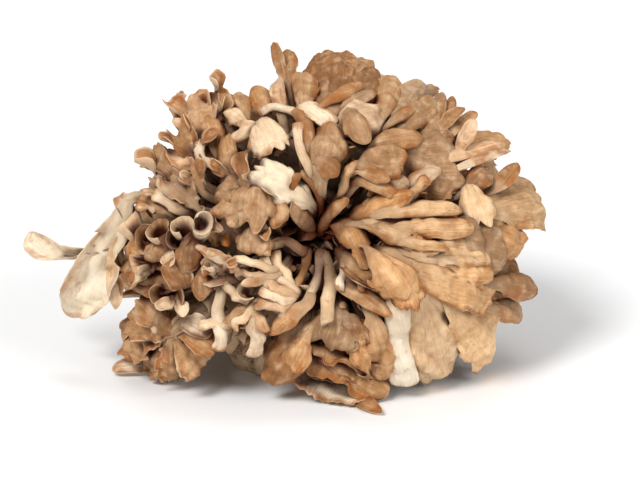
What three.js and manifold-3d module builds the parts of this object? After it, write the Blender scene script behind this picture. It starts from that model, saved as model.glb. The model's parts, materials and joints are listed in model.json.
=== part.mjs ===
// Maitake mushroom (hen of the woods): a cut butt that branches into a rosette of fronds.
// Millimetres, +Z up, standing on the cut foot at z = 0. The rosette faces -Y and a little upwards.

import * as THREE from "three";
import { mergeVertices } from "three/addons/utils/BufferGeometryUtils.js";
import Module from "manifold-3d";

const wasm = await Module();
wasm.setup();

// ---- driving dimensions -------------------------------------------------------------------
const HEART = new THREE.Vector3(15, 0, 68); // where all branches part
const REACH = { side: 118, height: 92, front: 78, back: 84 }; // from the heart to the tips
const LEFT_SHOULDER = 0.2; // how much lower the head is at its upper left
const FACE_TILT = 18; // degrees that the face leans back from upright
const AXIS_TILT = 20; // degrees that the rosette looks above the face's own direction
const FOOT = { x: 0, y: 0, radius: 31 }; // the cut foot
const CLEAR = 0.5; // clearance round every branch
const SOFT = 1.8; // how gently a frond bends away from its neighbour's room
const CORE = { share: 0.65, front: 0.85, inner: 13, pit: 0.5 }; // dense middle that the fronds stand out of

// ---- the face: right, up and out from the face plane ---------------------------------------
const lean = THREE.MathUtils.degToRad(FACE_TILT);
const RIGHT = new THREE.Vector3(1, 0, 0);
const UP = new THREE.Vector3(0, Math.sin(lean), Math.cos(lean));
const OUT = new THREE.Vector3(0, -Math.cos(lean), Math.sin(lean));
const Z_UP = new THREE.Vector3(0, 0, 1);
const axisLean = THREE.MathUtils.degToRad(AXIS_TILT);
const AXIS = OUT.clone().multiplyScalar(Math.cos(axisLean)).addScaledVector(UP, Math.sin(axisLean));
const heartRight = HEART.dot(RIGHT);
const heartUp = HEART.dot(UP);
const heartOut = HEART.dot(OUT);

const mix = (a, b, k) => a + (b - a) * k;
const clamp = (x, low, high) => Math.min(high, Math.max(low, x));
const ease = (low, high, x) => {
  const k = clamp((x - low) / (high - low), 0, 1);
  return k * k * (3 - 2 * k);
};
const chance = (n) => {
  const x = Math.sin(n * 127.1 + 11.7) * 43758.5453;
  return x - Math.floor(x);
};

// How far out the rosette's face stands at a place on it; a pit lies in the middle.
function faceDepth(right, up) {
  const across = (right - heartRight) / REACH.side;
  const along = (up - heartUp) / REACH.height;
  const dome = Math.sqrt(Math.max(0, 1 - across * across - along * along));
  const pit = Math.exp(-((right - 14) ** 2 + (up - 63) ** 2) / 420);
  return heartOut + REACH.front * dome - 30 * pit;
}

function facePoint(right, up, off) {
  let out = faceDepth(right, up) + off;
  const lowest = (1 - up * UP.z) / OUT.z;
  if (out < lowest) {
    out = lowest;
  }
  return RIGHT.clone().multiplyScalar(right).addScaledVector(UP, up).addScaledVector(OUT, out);
}

// ---- branches: each takes the room nearest to its own direction ----------------------------
// name, angle round the face from its right in degrees, and how far the branch points out of it
const BRANCHES = [
  ["fronds_crown", 75, 0.4],
  ["fronds_left_high", 120, 0.4],
  ["fronds_left", 178, 0.4],
  ["fronds_left_low", 220, 0.4],
  ["fronds_front_low", 270, 0.4],
  ["fronds_right_low", 314, 0.4],
  ["fronds_right", 354, 0.4],
  ["fronds_right_high", 36, 0.4],
  ["fronds_back_high", 90, -1],
  ["fronds_back_left", 190, -1],
  ["fronds_back_right", 350, -1],
  ["fronds_back_low", 270, -2.2],
].map(([name, angle, out]) => {
  const turn = THREE.MathUtils.degToRad(angle);
  const way = RIGHT.clone().multiplyScalar(Math.cos(turn));
  way.addScaledVector(UP, Math.sin(turn)).addScaledVector(OUT, out).normalize();
  return { name, way, fronds: [] };
});

function nearestBranch(point) {
  const way = point.clone().sub(HEART);
  let best = 0;
  BRANCHES.forEach((branch, k) => {
    if (branch.way.dot(way) > BRANCHES[best].way.dot(way)) {
      best = k;
    }
  });
  return best;
}

// A smooth push that keeps a distance above a least value.
function held(distance, least) {
  const x = (distance - least) / SOFT;
  return x > 9 ? distance : least + SOFT * Math.log1p(Math.exp(x));
}

function keepInRoom(point, k, half) {
  const own = BRANCHES[k].way;
  const v = point.clone().sub(HEART);
  for (let pass = 0; pass < 2; pass += 1) {
    BRANCHES.forEach((other, j) => {
      if (j !== k) {
        const across = own.clone().sub(other.way).normalize();
        const distance = v.dot(across);
        v.addScaledVector(across, held(distance, half + CLEAR) - distance);
      }
    });
  }
  v.add(HEART);
  const x = (v.z - half) / 1.2;
  v.z = x > 9 ? v.z : half + 1.2 * Math.log1p(Math.exp(x));
  return v;
}

// ---- fronds ---------------------------------------------------------------------------------
// Outline of each kind: width at the root, where it is widest, width at the tip, roundness of the
// far edge, and how the width grows.
const KINDS = {
  fan: { root: 0.24, widest: 0.8, tip: 0.6, arc: 0.24, grow: 0.9 },
  tongue: { root: 0.6, widest: 0.66, tip: 0.5, arc: 0.14, grow: 0.8 },
  spoon: { root: 0.24, widest: 0.84, tip: 0.6, arc: 0.16, grow: 2.6 },
  leaf: { root: 0.7, widest: 0.35, tip: 0.1, arc: 0.02, grow: 0.8 },
  roll: { root: 0.62, widest: 0.8, tip: 0.74, arc: 0.06, grow: 0.8 },
  horn: { root: 0.24, widest: 1, tip: 1, arc: 0, grow: 1.1 },
  stem: { root: 0.95, widest: 0.4, tip: 0.55, arc: 0.02, grow: 1 },
};

// Fronds that make up the face. Each row: kind; root right, up, off; tip right, up, off; width;
// bend towards the upper side; sweep to its left; cup across in radians (minus turns the margins
// away); turn about its length in degrees; margin wave; tone.
// "off" is the distance in front of the rosette's face. Millimetres.
const FACE_FRONDS = [
  // crown
  ["tongue", 1, 138, -5, -7, 163, -7, 11, 2, 1, 1, 0, 1.4, "tan"],
  ["fan", 19, 129, -4, 21, 159, -8, 31, 4, 0, -0.6, 0, 0.8, "brown"],
  ["fan", 6, 128, 2, 5, 147, 2, 17, 4, 0, -0.9, 0, 1, "tan"],
  ["tongue", -4, 126, 2, -7, 143, 0, 8, 2, 0, 0.8, 0, 1.4, "cream"],
  ["fan", -12, 124, -2, -17, 139, -4, 12, 2, 0, -0.5, 0, 0.6, "tan"],
  ["roll", -22, 122, -2, -26, 137, -4, 11, 2, 0, 2.4, 0, 0.6, "brown"],
  ["tongue", -29, 123, -4, -34, 135, -6, 6, 1, 0, 0.4, 0, 0.5, "tan"],
  ["stem", -32, 125, -4, -35, 137, -5, 2.6, 0, 1, 0, 0, 0, "tan"],
  ["tongue", -34, 122, -4, -41, 133, -6, 6, 1, -1, 0.5, 0, 1, "ochre"],
  ["fan", 30, 138, -12, 39, 154, -13, 14, 2, 0, -0.5, 0, 0.8, "tan"],
  ["fan", 37, 130, -6, 42, 149, -8, 16, 3, 0, -0.5, 0, 0.8, "brown"],
  ["spoon", 15, 126, 4, 37, 139, 5, 8, 2, 1, -0.6, 0, 0.5, "tan"],
  ["tongue", 30, 128, 2, 44, 135, 1, 7, 1, 1, -0.5, 0, 0.5, "taupe"],
  ["fan", 46, 124, -4, 52, 144, -6, 14, 3, 0, -0.4, 0, 0.8, "tan"],
  ["fan", 54, 125, -6, 68, 141, -8, 14, 3, 0, -0.4, 0, 1, "taupe"],
  ["fan", 56, 117, -2, 73, 132, -4, 14, 3, 0, -0.5, 0, 1, "tan"],
  ["tongue", 70, 114, -4, 76, 136, -6, 9, 2, 0, -0.6, 0, 0.6, "taupe"],
  ["tongue", 77, 120, -7, 82, 135, -8, 5.5, 1, 0, -0.4, 0, 0.5, "tan"],
  ["roll", 50, 120, 3, 61, 126, 3, 7, 1, 0, -2.2, 0, 0, "tan"],
  ["tongue", 75, 115, -4, 86, 125, -5, 6, 1, 1, 0.5, 0, 0.6, "tan"],
  ["tongue", 81, 115, -6, 94, 124, -7, 6, 1, 1, 0.5, 0, 0.6, "tan"],
  ["fan", 83, 105, -4, 91, 119, -5, 9, 2, 0, 0.4, 0, 0.8, "cream"],
  // upper right
  ["fan", 28, 117, 1, 47, 126, 1, 24, 4, 0, -0.8, 0, 1, "pale"],
  ["fan", 30, 123, 8, 38, 108, 13, 13, 5, 0, -1, 0, 0.6, "tan"],
  ["tongue", 40, 108, 3, 67, 112.5, 3, 12, 4, 0, -0.9, 0, 0.6, "tan"],
  ["fan", 56, 102, -7, 91, 98, -4, 36, 5, 0, -0.4, 0, 1.2, "taupe"],
  ["tongue", 58, 82, 1, 74, 97, 3, 10, 3, 2, -1, 0, 0.6, "pale"],
  ["stem", 58, 82, 4, 68, 91, 6, 5, 1, 1, 0, 0, 0, "tan"],
  ["fan", 34, 101, 4, 61, 99, 6, 20, 4, 0, -0.7, 0, 1, "tan"],
  ["tongue", 37, 95, 6, 50, 90, 9, 6.5, 1, 0, -0.6, 0, 0.4, "tan"],
  ["fan", 47, 91, 0, 62, 83, 2, 12, 3, 0, -0.6, 0, 0.8, "taupe"],
  ["stem", 27, 88, 0, 35, 99, 3, 5, 1, 1, 0, 0, 0, "tan"],
  ["fan", 17, 96, 3, 22, 119, 5, 23, 5, 0, -1.3, 0, 1, "tan"],
  ["tongue", 17, 100, 8, 25, 93, 10, 11, 2, 0, -0.9, 0, 0.4, "brown"],
  ["stem", 12, 92, 3, 11, 107, 5, 6, 1, 0, 0, 0, 0, "reddish"],
  // right
  ["leaf", 86, 104, -2, 109, 110.5, -2, 9, 1, 0, 0.5, 0, 0.5, "tan"],
  ["leaf", 89, 100, 0, 110, 105.5, 0, 6, 1, 0, 0.4, 0, 0.5, "tan"],
  ["fan", 88, 87, -2, 101, 98, -2, 13, 3, 0, -0.6, 0, 0.8, "brown"],
  ["fan", 84, 81, 2, 106, 75, 3, 21, 3, 0, 0.4, 0, 0.6, "cream"],
  ["fan", 100, 75, -3, 129, 85, -5, 33, 4, 0, -0.3, 0, 1.2, "tan"],
  ["leaf", 103, 88, -3, 114, 100, -4, 8, 1, 0, 0.3, 0, 0.4, "tan"],
  ["fan", 100, 64, -1, 123, 58, -2, 36, 3, 0, -0.4, 0, 1.6, "orange"],
  ["fan", 85, 65, 0, 111, 51, 0, 33, 4, 0, -0.4, 0, 1.2, "taupe"],
  ["fan", 60, 52, 1, 107, 40, 2, 38, 6, 0, -0.4, 0, 2, "fibre"],
  ["fan", 64, 56, 3, 103, 54, 5, 17, 4, 0, -0.6, 0, 2, "fibre"],
  ["fan", 66, 49, 4, 101, 45, 6, 19, 4, 0, -0.6, 0, 2, "pale"],
  ["tongue", 53, 76, 3, 86, 76, 6, 11, 3, 1, -1.6, 0, 0.5, "fibre"],
  ["tongue", 48, 71, 2, 84, 71, 3, 5, 1, 0, 0.6, 0, 0.8, "cream"],
  ["fan", 57, 67, 3, 89, 67, 5, 13, 3, 0, -0.7, 0, 1.8, "fibre"],
  ["tongue", 58, 61, 4, 73.5, 55, 7, 10, 2, 0, -0.7, 0, 1.8, "fibre"],
  ["spoon", 37, 68, 3, 63, 60, 8, 13, 3, 1, -0.8, 0, 0.8, "fibre"],
  ["fan", 103, 39, 0, 126, 37, -2, 14, 3, 0, -0.5, 0, 1, "tan"],
  ["fan", 99, 28, 0, 119, 23, -1, 13, 3, 0, -0.5, 0, 1, "tan"],
  // centre right
  ["roll", 32, 69, -5, 60, 84, 8, 10, 3, 2, -2.4, 0, 0.4, "orange"],
  ["stem", 19, 80, -3, 50, 82, 5, 6.5, 2, 9, 0, 0, 0, "tan"],
  ["tongue", 11, 60, -5, 31, 81, 7, 9, 3, 5, -0.8, 0, 0.4, "tan"],
  ["tongue", 25, 71, -1, 37, 54, 8, 14, 4, 2, -1.2, 0, 0.8, "fibre"],
  ["fan", 33, 58, 4, 38, 49, 9, 11, 2, 0, -1, 0, 1.8, "orange"],
  ["fan", 36, 53, 1, 62, 32, 9, 36, 8, 0, -1.2, 0, 2.2, "orange"],
  ["tongue", 30, 49, -3, 43, 36, 4, 9, 3, -2, 1.2, 0, 0.6, "tan"],
  ["stem", 27, 53, -2, 24, 36, 3, 4.8, 1, 0, 0, 0, 0, "cream"],
  ["stem", 29, 50, -2, 35, 36, 3, 4.2, 1, 3, 0, 0, 0, "cream"],
  ["stem", 54, 30, 2, 57, -10, 2, 14, 2, 0, 0, 0, 0, "cream"],
  ["tongue", 29, 36, 0, 50, 24, 6, 9, 2, 1, -0.8, 0, 0.6, "tan"],
  ["tongue", 13, 63, -6, 24, 64, 1, 7, 2, 3, 1, 0, 0.6, "brown"],
  ["stem", 16, 60, -6, 28, 62, -1, 3.6, 1, 2, 0, 0, 0, "tan"],
  // centre left
  ["tongue", 7, 106, 2, 3, 127, 6, 9, 3, -5, 1.2, 0, 0.6, "brown"],
  ["stem", 9, 97, 3, 3, 118, 5, 4.6, 1, 1, 0, 0, 0, "cream"],
  ["fan", 4, 123, 2, -14, 126, 3, 9, 1, -3, -1, 0, 0.8, "cream"],
  ["tongue", 5, 123, 2, 8, 136, 3, 6, 0, 1, -0.8, 0, 0.4, "cream"],
  ["tongue", 5, 121, 3, 20, 124, 5, 9, 3, 1, -0.8, 0, 0.4, "cream"],
  ["fan", -15, 115, 1, -27, 111, 5, 10, 3, 0, -1, 0, 1, "cream"],
  ["fan", -7, 117, -3, -9, 104, 7, 19, 5, 0, -1.2, 0, 1.4, "cream"],
  ["fan", 5, 83, 1, -20, 98, 8, 23, 4, 0, -0.9, 0, 2.6, "cream"],
  ["roll", 13, 76, -4, 7, 94, 5, 11, 3, 2, 2.8, 0, 0.5, "brown"],
  ["horn", 10, 68, -10, 4, 75, 7, 40, 0, 0, 5, 0, 0.8, "tan"],
  ["fan", 10, 71, -4, 7, 62, 4, 10, 2, 0, 1, 0, 1.6, "brown"],
  ["fan", -16, 87, 2, -20, 66, 8, 20, 4, 0, -0.7, 0, 1.8, "fibre"],
  ["fan", -7, 84, 2, -9, 67, 7, 14, 3, 0, -0.7, 0, 1.8, "fibre"],
  ["fan", -20, 85, 1, -38, 90, 3, 18, 3, 0, -0.6, 0, 2, "taupe"],
  ["fan", -24, 78, 3, -36, 72, 6, 13, 3, 0, -0.6, 0, 2, "tan"],
  ["fan", -15, 68, 1, -18, 52, 4, 17, 3, 0, -0.8, 0, 1, "taupe"],
  ["stem", 4, 57, 0, -12, 55, 5, 5.4, 1, -11, 0, 0, 0, "cream"],
  ["stem", 4, 35, -2, -14, 53, 1, 5, 1, 1, 0, 0, 0, "cream"],
  ["stem", 4, 34, -3, -8, 56, -1, 5, 1, 1, 0, 0, 0, "cream"],
  ["stem", 3, 33, 0, -16, 45, 3, 6, 1, 1, 0, 0, 0, "cream"],
  ["stem", 2, 31, 1, -15, 36, 3, 5.4, 1, 1, 0, 0, 0, "cream"],
  ["stem", -9, 31, 3, 9, 58, -2, 4.6, 0, -7, 0, 0, 0, "tan"],
  ["stem", -3, 24, 4, 14, 57, -3, 4.8, 0, -7, 0, 0, 0, "cream"],
  ["stem", 18, 22, 3, 18, 56, -3, 6.4, 0, -2, 0, 0, 0, "cream"],
  ["tongue", -28, 47, 3, -44, 57, 5, 7, 2, 0, 0.8, 0, 1, "cream"],
  ["stem", -11, 47, 4, -28, 52, 6, 4.4, 1, -1, 0, 0, 0, "cream"],
  ["stem", -10, 43, 4, -27, 45, 6, 4.4, 0, 0, 0, 0, 0, "cream"],
  ["fan", -29, 48, 2, -43, 50, 6, 13, 3, 0, -0.8, 0, 2.4, "cream"],
  ["tongue", -30, 42, 2, -40, 39, 5, 7, 2, 0, 1.2, 0, 1.4, "pale"],
  // forked pale stems
  ["stem", -33, 35, 1, -34, 6, 6, 6.6, 1, 0, 0, 0, 0, "cream"],
  ["stem", -32, 19, 4, -45, 20, 6, 6, 0, 0, 0, 0, 0, "cream"],
  ["stem", -34, 17, 3, -20, 28, 5, 6, 1, 1, 0, 0, 0, "cream"],
  ["stem", -18, 28, 4, -28, 18, 7, 5.6, 1, 0, 0, 0, 0, "cream"],
  ["stem", -19, 27, 4, -11, 16, 7, 5.6, 1, 1, 0, 0, 0, "cream"],
  ["stem", -17, 22, 4, -17, 5, 6, 8, 1, 0, 0, 0, 0, "cream"],
  ["stem", -30, 38, 5, -20, 30, 6, 5, 1, 0, 0, 0, 0, "cream"],
  ["stem", 2, 29, 0, -16, 31, 5, 6, 1, 2, 0, 0, 0, "cream"],
  ["horn", -22, 32, 0, -26, 39, 7, 21, 0, 0, 5, 0, 0.4, "cream"],
  ["tongue", 4, 27, 4, -12, 14, 7, 9, 3, 0, -0.8, 0, 0.6, "tan"],
  // left
  ["stem", -52, 114, -4, -58.5, 131, -5, 5.6, 1, 1, 0, 0, 0, "tan"],
  ["fan", -42, 107, -3, -48, 134, -3, 17, 3, 0, 0.7, 0, 2.2, "pale"],
  ["roll", -35, 105, -1, -39, 128, -3, 13, 3, 0, 2.5, 0, 0.8, "brown"],
  ["fan", -28, 122, -4, -31, 134, -5, 9, 2, 0, -0.6, 0, 0.8, "tan"],
  ["tongue", -25, 118, 2, -34, 126, 4, 8, 2, -2, -1.2, 0, 0.4, "cream"],
  ["fan", -47, 100, 1, -56, 116, 1, 15, 4, 0, 0.8, 0, 2.8, "tan"],
  ["fan", -46, 92, 3, -60, 103, 3, 14, 3, 0, 1.2, 20, 2.4, "pale"],
  ["fan", -44, 88, 4, -50, 100, 6, 12, 3, 0, 1, -20, 2.4, "tan"],
  ["fan", -48, 80, 3, -60, 90, 4, 13, 3, 0, 0.9, 0, 2.4, "taupe"],
  ["tongue", -27, 95, 3, -32, 115, 4, 11, 3, 1, -1, 0, 2.8, "tan"],
  ["tongue", -22, 88, 4, -23, 106, 5, 7, 3, -2, 1.6, -30, 2, "brown"],
  ["stem", -38, 98, 4, -44, 110, 5, 5.4, 0, 4, 0, 0, 0, "cream"],
  ["fan", -56, 92, 0, -70, 101, -1, 14, 3, 0, 1.4, 0, 1.6, "tan"],
  ["stem", -56, 78, 3, -65, 86, 4, 7.5, 0, 0, 0, 0, 0, "cream"],
  ["fan", -62, 77, 1, -75, 84, 0, 13, 3, 0, -1.8, 0, 1, "tan"],
  ["tongue", -79, 72, -3, -86, 82, -3, 8, 2, 0, 0.8, 0, 1, "cream"],
  ["horn", -76, 58, -10, -85, 70, 1, 34, 1, 0, 5, 0, 1.2, "pale"],
  ["horn", -71, 58, -9, -78, 66, 5, 44, 1, 0, 5, 0, 1.2, "brown"],
  ["horn", -63, 58, -7, -66, 65, 7, 36, 1, 0, 5, 0, 1, "brown"],
  ["horn", -56, 57, -6, -58, 62, 7, 26, 1, 0, 5, 0, 0.8, "brown"],
  ["horn", -50, 62, -8, -52, 72, 6, 30, 1, 0, 5, 0, 1, "brown"],
  ["horn", -43, 62, -6, -44, 71, 7, 26, 1, 0, 5, 0, 0.8, "brown"],
  ["horn", -38, 63, -5, -35, 72, 8, 26, 1, 2, 5, 0, 0.6, "brown"],
  ["tongue", -45, 62, 2, -32, 66, 6, 6, 1, 4, 1, 0, 0.8, "cream"],
  ["fan", -62, 60, 1, -67, 51, 5, 16, 4, 0, -1.4, 0, 0.8, "taupe"],
  ["fan", -49, 60, 1, -51, 45, 6, 13, 4, 0, -1, 0, 0.8, "taupe"],
  ["spoon", -51, 36, 0, -60, 50, 5, 13, 3, 0, 1.6, 0, 0.6, "brown"],
  ["fan", -42, 44, 1, -43, 29, 5, 10, 3, 0, -1.3, 0, 1, "tan"],
  ["horn", -56, 28, -14, -61, 34, 7, 52, 1, 0, 5, 0, 1.4, "tan"],
  ["fan", -55, 31, 3, -52, 23, 7, 7, 1, 0, 0.8, 0, 1, "cream"],
  ["fan", -60, 40, -4, -87, 54, -4, 15, 4, 0, 0.8, 0, 2.6, "brown"],
  ["fan", -60, 34, -3, -84, 44, -3, 14, 4, 0, 0.8, 0, 2.6, "brown"],
  ["fan", -64, 49, -2, -81, 56, -1, 11, 3, 0, 0.8, 0, 2, "orange"],
  ["tongue", -70, 48, 0, -80, 39, 1, 9, 2, 0, 0.8, 0, 1.6, "cream"],
  // lower left: fans round one middle
  ["fan", -60, 18, -2, -78, 28, 1, 22, 3, 0, -0.4, 0, 1, "tan"],
  ["fan", -60, 16, -1, -84, 16, 2, 24, 3, 0, -0.4, 0, 1, "tan"],
  ["fan", -60, 14, 0, -79, 2, 3, 24, 3, 0, -0.4, 0, 1, "fibre"],
  ["fan", -58, 13, 1, -67, -7, 4, 26, 4, 0, -0.4, 0, 1, "tan"],
  ["fan", -55, 13, 1, -52, -8, 5, 24, 4, 0, -0.4, 0, 1, "tan"],
  ["fan", -52, 13, 1, -40, -1, 4, 20, 4, 0, -0.4, 0, 1, "fibre"],
  ["fan", -64, 20, 2, -56, 8, 8, 20, 4, 0, -1, 0, 1.6, "tan"],
  ["fan", -53, 20, 0, -38, 14, 2, 10, 2, 0, 0.5, 0, 0.8, "cream"],
  ["tongue", -68, -1, 0, -91, -5, 0, 9, 2, 0, 0.4, 0, 0.6, "cream"],
  // stray fronds at the far left
  ["spoon", -88, 58, -4, -131, 60, -4, 14, 2, 9, 0.7, 0, 1.2, "cream"],
  ["tongue", -88, 55, -2, -111, 20, -2, 19, 4, 3, 0.7, 0, 1.6, "cream"],
  ["tongue", -80, 45, -4, -90, 28, -3, 6, 1, 0, 0.5, 0, 0.5, "tan"],
  // bottom centre
  ["fan", 21, 24, -4, 15, 6, 6, 32, 4, 0, -0.5, 0, 2.6, "taupe"],
  ["fan", 29, 21, -2, 38, 6, 6, 19, 3, 0, -0.5, 0, 2, "taupe"],
  ["fan", 22, 12, -22, 16, 4, 5, 46, 3, 0, -0.4, 0, 1.1, "tan"],
  ["fan", 22, 7, -20, 14, -2, 6, 44, 3, 0, -0.4, 0, 1.1, "tan"],
  ["fan", 24, 2, -18, 22, -7, 7, 40, 3, 0, -0.4, 0, 1, "tan"],
  ["fan", 4, 14, -2, -11, -12, 5, 22, 4, 0, -0.6, 0, 1.8, "brown"],
  ["fan", 19, -6, -20, 11, -18, 7, 38, 3, 0, 0.5, 0, 0.8, "cream"],
  ["fan", 24, -1, 0, 52, -15, 5, 19, 4, 0, -0.5, 0, 1.2, "tan"],
  ["leaf", 31, -15, 2, 46, -25, 5, 8, 1, 0, 0.3, 0, 0.4, "tan"],
  // bottom right
  ["fan", 66, 25, 0, 80, -11, 4, 30, 5, 0, -0.4, 0, 1.2, "pale"],
  ["fan", 84, 28, -2, 106, 0, 0, 32, 5, 0, -0.4, 0, 1.2, "pale"],
  ["fan", 44, 16, -2, 48, -13, 2, 20, 4, 0, -0.4, 0, 1, "pale"],
];

const TONES = {
  cream: 0xeadccb,
  pale: 0xdcc3a3,
  tan: 0xb98d62,
  taupe: 0xa3805e,
  brown: 0x7f5937,
  fibre: 0xb8906a,
  orange: 0xc08750,
  ochre: 0xa67c3c,
  reddish: 0x8d5236,
};

function frondFromFace(row) {
  const [kind, r0, u0, o0, r1, u1, o1, wide, bend, sweep, cup, turn, wave, tone] = row;
  const root = facePoint(r0, u0, o0);
  const tip = facePoint(r1, u1, o1);
  const slim = kind === "stem" || kind === "horn";
  const width = slim ? wide : wide * 1.22;
  if (!slim) {
    root.addScaledVector(tip.clone().sub(root), -0.2).addScaledVector(AXIS, -2);
  }
  return { kind, root, tip, facing: AXIS.clone(), width, bend, sweep, cup, turn, wave, tone };
}

// Directions spread evenly round the heart.
function spreadDirection(i, count) {
  const height = 1 - (2 * (i + 0.5)) / count;
  const ring = Math.sqrt(1 - height * height);
  const angle = i * 2.39996323;
  return new THREE.Vector3(ring * Math.cos(angle), ring * Math.sin(angle), height);
}

function reachAlong(way) {
  const depth = way.dot(OUT);
  const thick = depth > 0 ? REACH.front : REACH.back;
  const squares = (way.dot(RIGHT) / REACH.side) ** 2 + (way.dot(UP) / REACH.height) ** 2;
  const shoulder = ease(0.15, 0.8, -way.dot(RIGHT)) * ease(0, 0.5, way.dot(UP));
  const reach = (1 - LEFT_SHOULDER * shoulder) / Math.sqrt(squares + (depth / thick) ** 2);
  return way.z < 0 ? Math.min(reach, (HEART.z - 5) / -way.z) : reach;
}

// How far the dense middle reaches from the heart; it dips under the pit.
function coreReach(way) {
  const pit = Math.exp(-((1 - way.dot(OUT)) ** 2) / 0.012);
  const share = mix(CORE.share, CORE.front, ease(0.1, 0.8, way.dot(OUT)));
  return reachAlong(way) * share * (1 - CORE.pit * pit);
}

// Shelves of fronds over the sides, the top and the far side: each leaves the head above its own
// middle and droops outwards, upper side out. Fewer of them reach into the face.
const SHELVES = 84;
function shelfFronds() {
  const fronds = [];
  for (let i = 0; i < SHELVES; i += 1) {
    const way = spreadDirection(i, SHELVES);
    const depth = way.dot(OUT);
    if (depth > 0.42 || way.z < -0.6) {
      continue;
    }
    const reach = reachAlong(way);
    const down = way.clone().multiplyScalar(way.z).sub(Z_UP).normalize();
    const side = ease(-0.2, 0.3, depth);
    const chord = way.clone().multiplyScalar(0.8).addScaledVector(down, mix(0.6, 0.3, side)).normalize();
    const long = mix(38, 50, chance(i + 0.1)) * mix(1, 0.8, side);
    const out = mix(0.79, 0.86, chance(i + 0.15)) * mix(1, 0.96, side);
    const middle = HEART.clone().addScaledVector(way, reach * out);
    const tip = middle.clone().addScaledVector(chord, long * 0.4);
    tip.z = Math.max(3, tip.z);
    fronds.push({
      kind: "fan",
      root: middle.clone().addScaledVector(chord, -long * 0.6),
      tip,
      facing: way.clone().multiplyScalar(0.6).addScaledVector(Z_UP, 0.8).addScaledVector(OUT, side),
      width: mix(42, 54, chance(i + 0.3)) * mix(1, 0.84, side),
      bend: mix(3, 7, chance(i + 0.8)),
      sweep: mix(-4, 4, chance(i + 0.4)),
      cup: mix(-0.9, -0.3, chance(i + 0.5)),
      turn: mix(-18, 18, chance(i + 0.6)),
      wave: mix(1, 2, chance(i + 0.9)),
      tone: ["tan", "taupe", "brown", "fibre"][Math.floor(chance(i + 0.7) * 4)],
    });
  }
  return fronds;
}

// The line a frond grows along: stalk from its branch (t = -1 to 0), then blade (t = 0 to 1).
function growthLine(frond) {
  const chord = frond.tip.clone().sub(frond.root);
  const length = chord.length();
  const way = chord.clone().normalize();
  const upper = frond.facing.clone().addScaledVector(way, -frond.facing.dot(way)).normalize();
  upper.applyAxisAngle(way, THREE.MathUtils.degToRad(frond.turn));
  const left = upper.clone().cross(way);
  const blade = (t) => {
    const arch = 4 * t * (1 - t);
    const point = frond.root.clone().addScaledVector(chord, t);
    return point.addScaledVector(upper, frond.bend * arch).addScaledVector(left, frond.sweep * arch);
  };
  const far = frond.root.clone().sub(HEART);
  const outward = far.clone().normalize();
  const deep = Math.min(coreReach(outward) * 0.9 - 4, far.length() - 6);
  const start = HEART.clone().addScaledVector(outward, Math.max(deep, CORE.inner + 3));
  const gap = frond.root.distanceTo(start);
  const leave = outward.clone().multiplyScalar(gap * 0.6);
  const enter = blade(0.02).sub(blade(0)).normalize().multiplyScalar(gap * 0.6);
  const stalk = (t) => {
    const k = t + 1;
    const point = start.clone().multiplyScalar(2 * k ** 3 - 3 * k ** 2 + 1);
    point.addScaledVector(leave, k ** 3 - 2 * k ** 2 + k);
    point.addScaledVector(frond.root, -2 * k ** 3 + 3 * k ** 2);
    return point.addScaledVector(enter, k ** 3 - k ** 2);
  };
  return { at: (t) => (t < 0 ? stalk(t) : blade(t)), upper, length, gap };
}

function halfWidth(frond, t) {
  const kind = KINDS[frond.kind];
  const full = frond.width / 2;
  const stalk = clamp(0.075 * frond.width + 1.1, 1.3, 3.4);
  if (t < 0) {
    return mix(Math.min(stalk, full), Math.max(kind.root * full, 1.1), ease(-0.7, 0, t));
  }
  const rise = Math.sin((Math.PI / 2) * clamp(t / kind.widest, 0, 1)) ** kind.grow;
  let wide = mix(kind.root, 1, rise);
  if (kind.widest < 1 && t > kind.widest) {
    const k = (t - kind.widest) / (1 - kind.widest);
    wide *= Math.sqrt(1 - k * k * (1 - kind.tip * kind.tip));
  }
  return Math.max(wide * full, 0.9);
}

function thickness(frond, t, u) {
  const size = clamp(frond.width / 20, 0.62, 1.1);
  let middle;
  if (frond.kind === "stem") {
    middle = frond.width * mix(0.86, 0.6, ease(0.5, 1, t));
  } else if (t < 0) {
    middle = mix(4.6, 3.4, t + 1) * size;
  } else {
    middle = mix(3.4, 1.5, t ** 0.7) * size;
  }
  return Math.max(0.8, middle * (1 - 0.5 * u * u));
}

// A point of the blade's middle sheet: cupped across, its far edge rounded, its margin waved.
function frondPoint(frond, line, frame, t, u, seed) {
  const half = halfWidth(frond, t);
  const open = t < 0 ? 0.15 : ease(0, 0.35, t);
  const cup = frond.cup * mix(0.25, 1, open);
  const phi = (u * cup) / 2;
  const across = Math.abs(cup) < 0.02 ? half * u : ((2 * half) / cup) * Math.sin(phi);
  let rise = Math.abs(cup) < 0.02 ? 0 : ((2 * half) / cup) * (1 - Math.cos(phi));
  let back = 0;
  if (t > 0) {
    back = KINDS[frond.kind].arc * line.length * u * u * t * t;
    const margin = Math.max(u * u, ease(0.55, 1, t));
    // the wave runs round the blade's middle, so that it follows the whole margin
    const round = Math.atan2(u * half, (t - 0.3) * line.length);
    rise += frond.wave * margin * open * Math.sin(4 * round + seed * 6.28);
  }
  const point = line.at(t).addScaledVector(frame.left, across);
  return point.addScaledVector(frame.upper, rise).addScaledVector(frame.way, -back);
}

function rowsFor(frond, gap) {
  const stalk = gap > 60 ? [-1, -0.5, 0] : [-1, 0];
  if (frond.kind === "stem") {
    return Math.abs(frond.sweep) > 4 ? [...stalk, 0.5, 1] : [...stalk, 1];
  }
  if (frond.kind === "horn") {
    return frond.width > 44 ? [...stalk, 0.5, 1] : [...stalk, 1];
  }
  if (frond.width < 34) {
    return [...stalk, 0.62, 1];
  }
  return [...stalk, 0.45, 0.82, 1];
}

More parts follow.
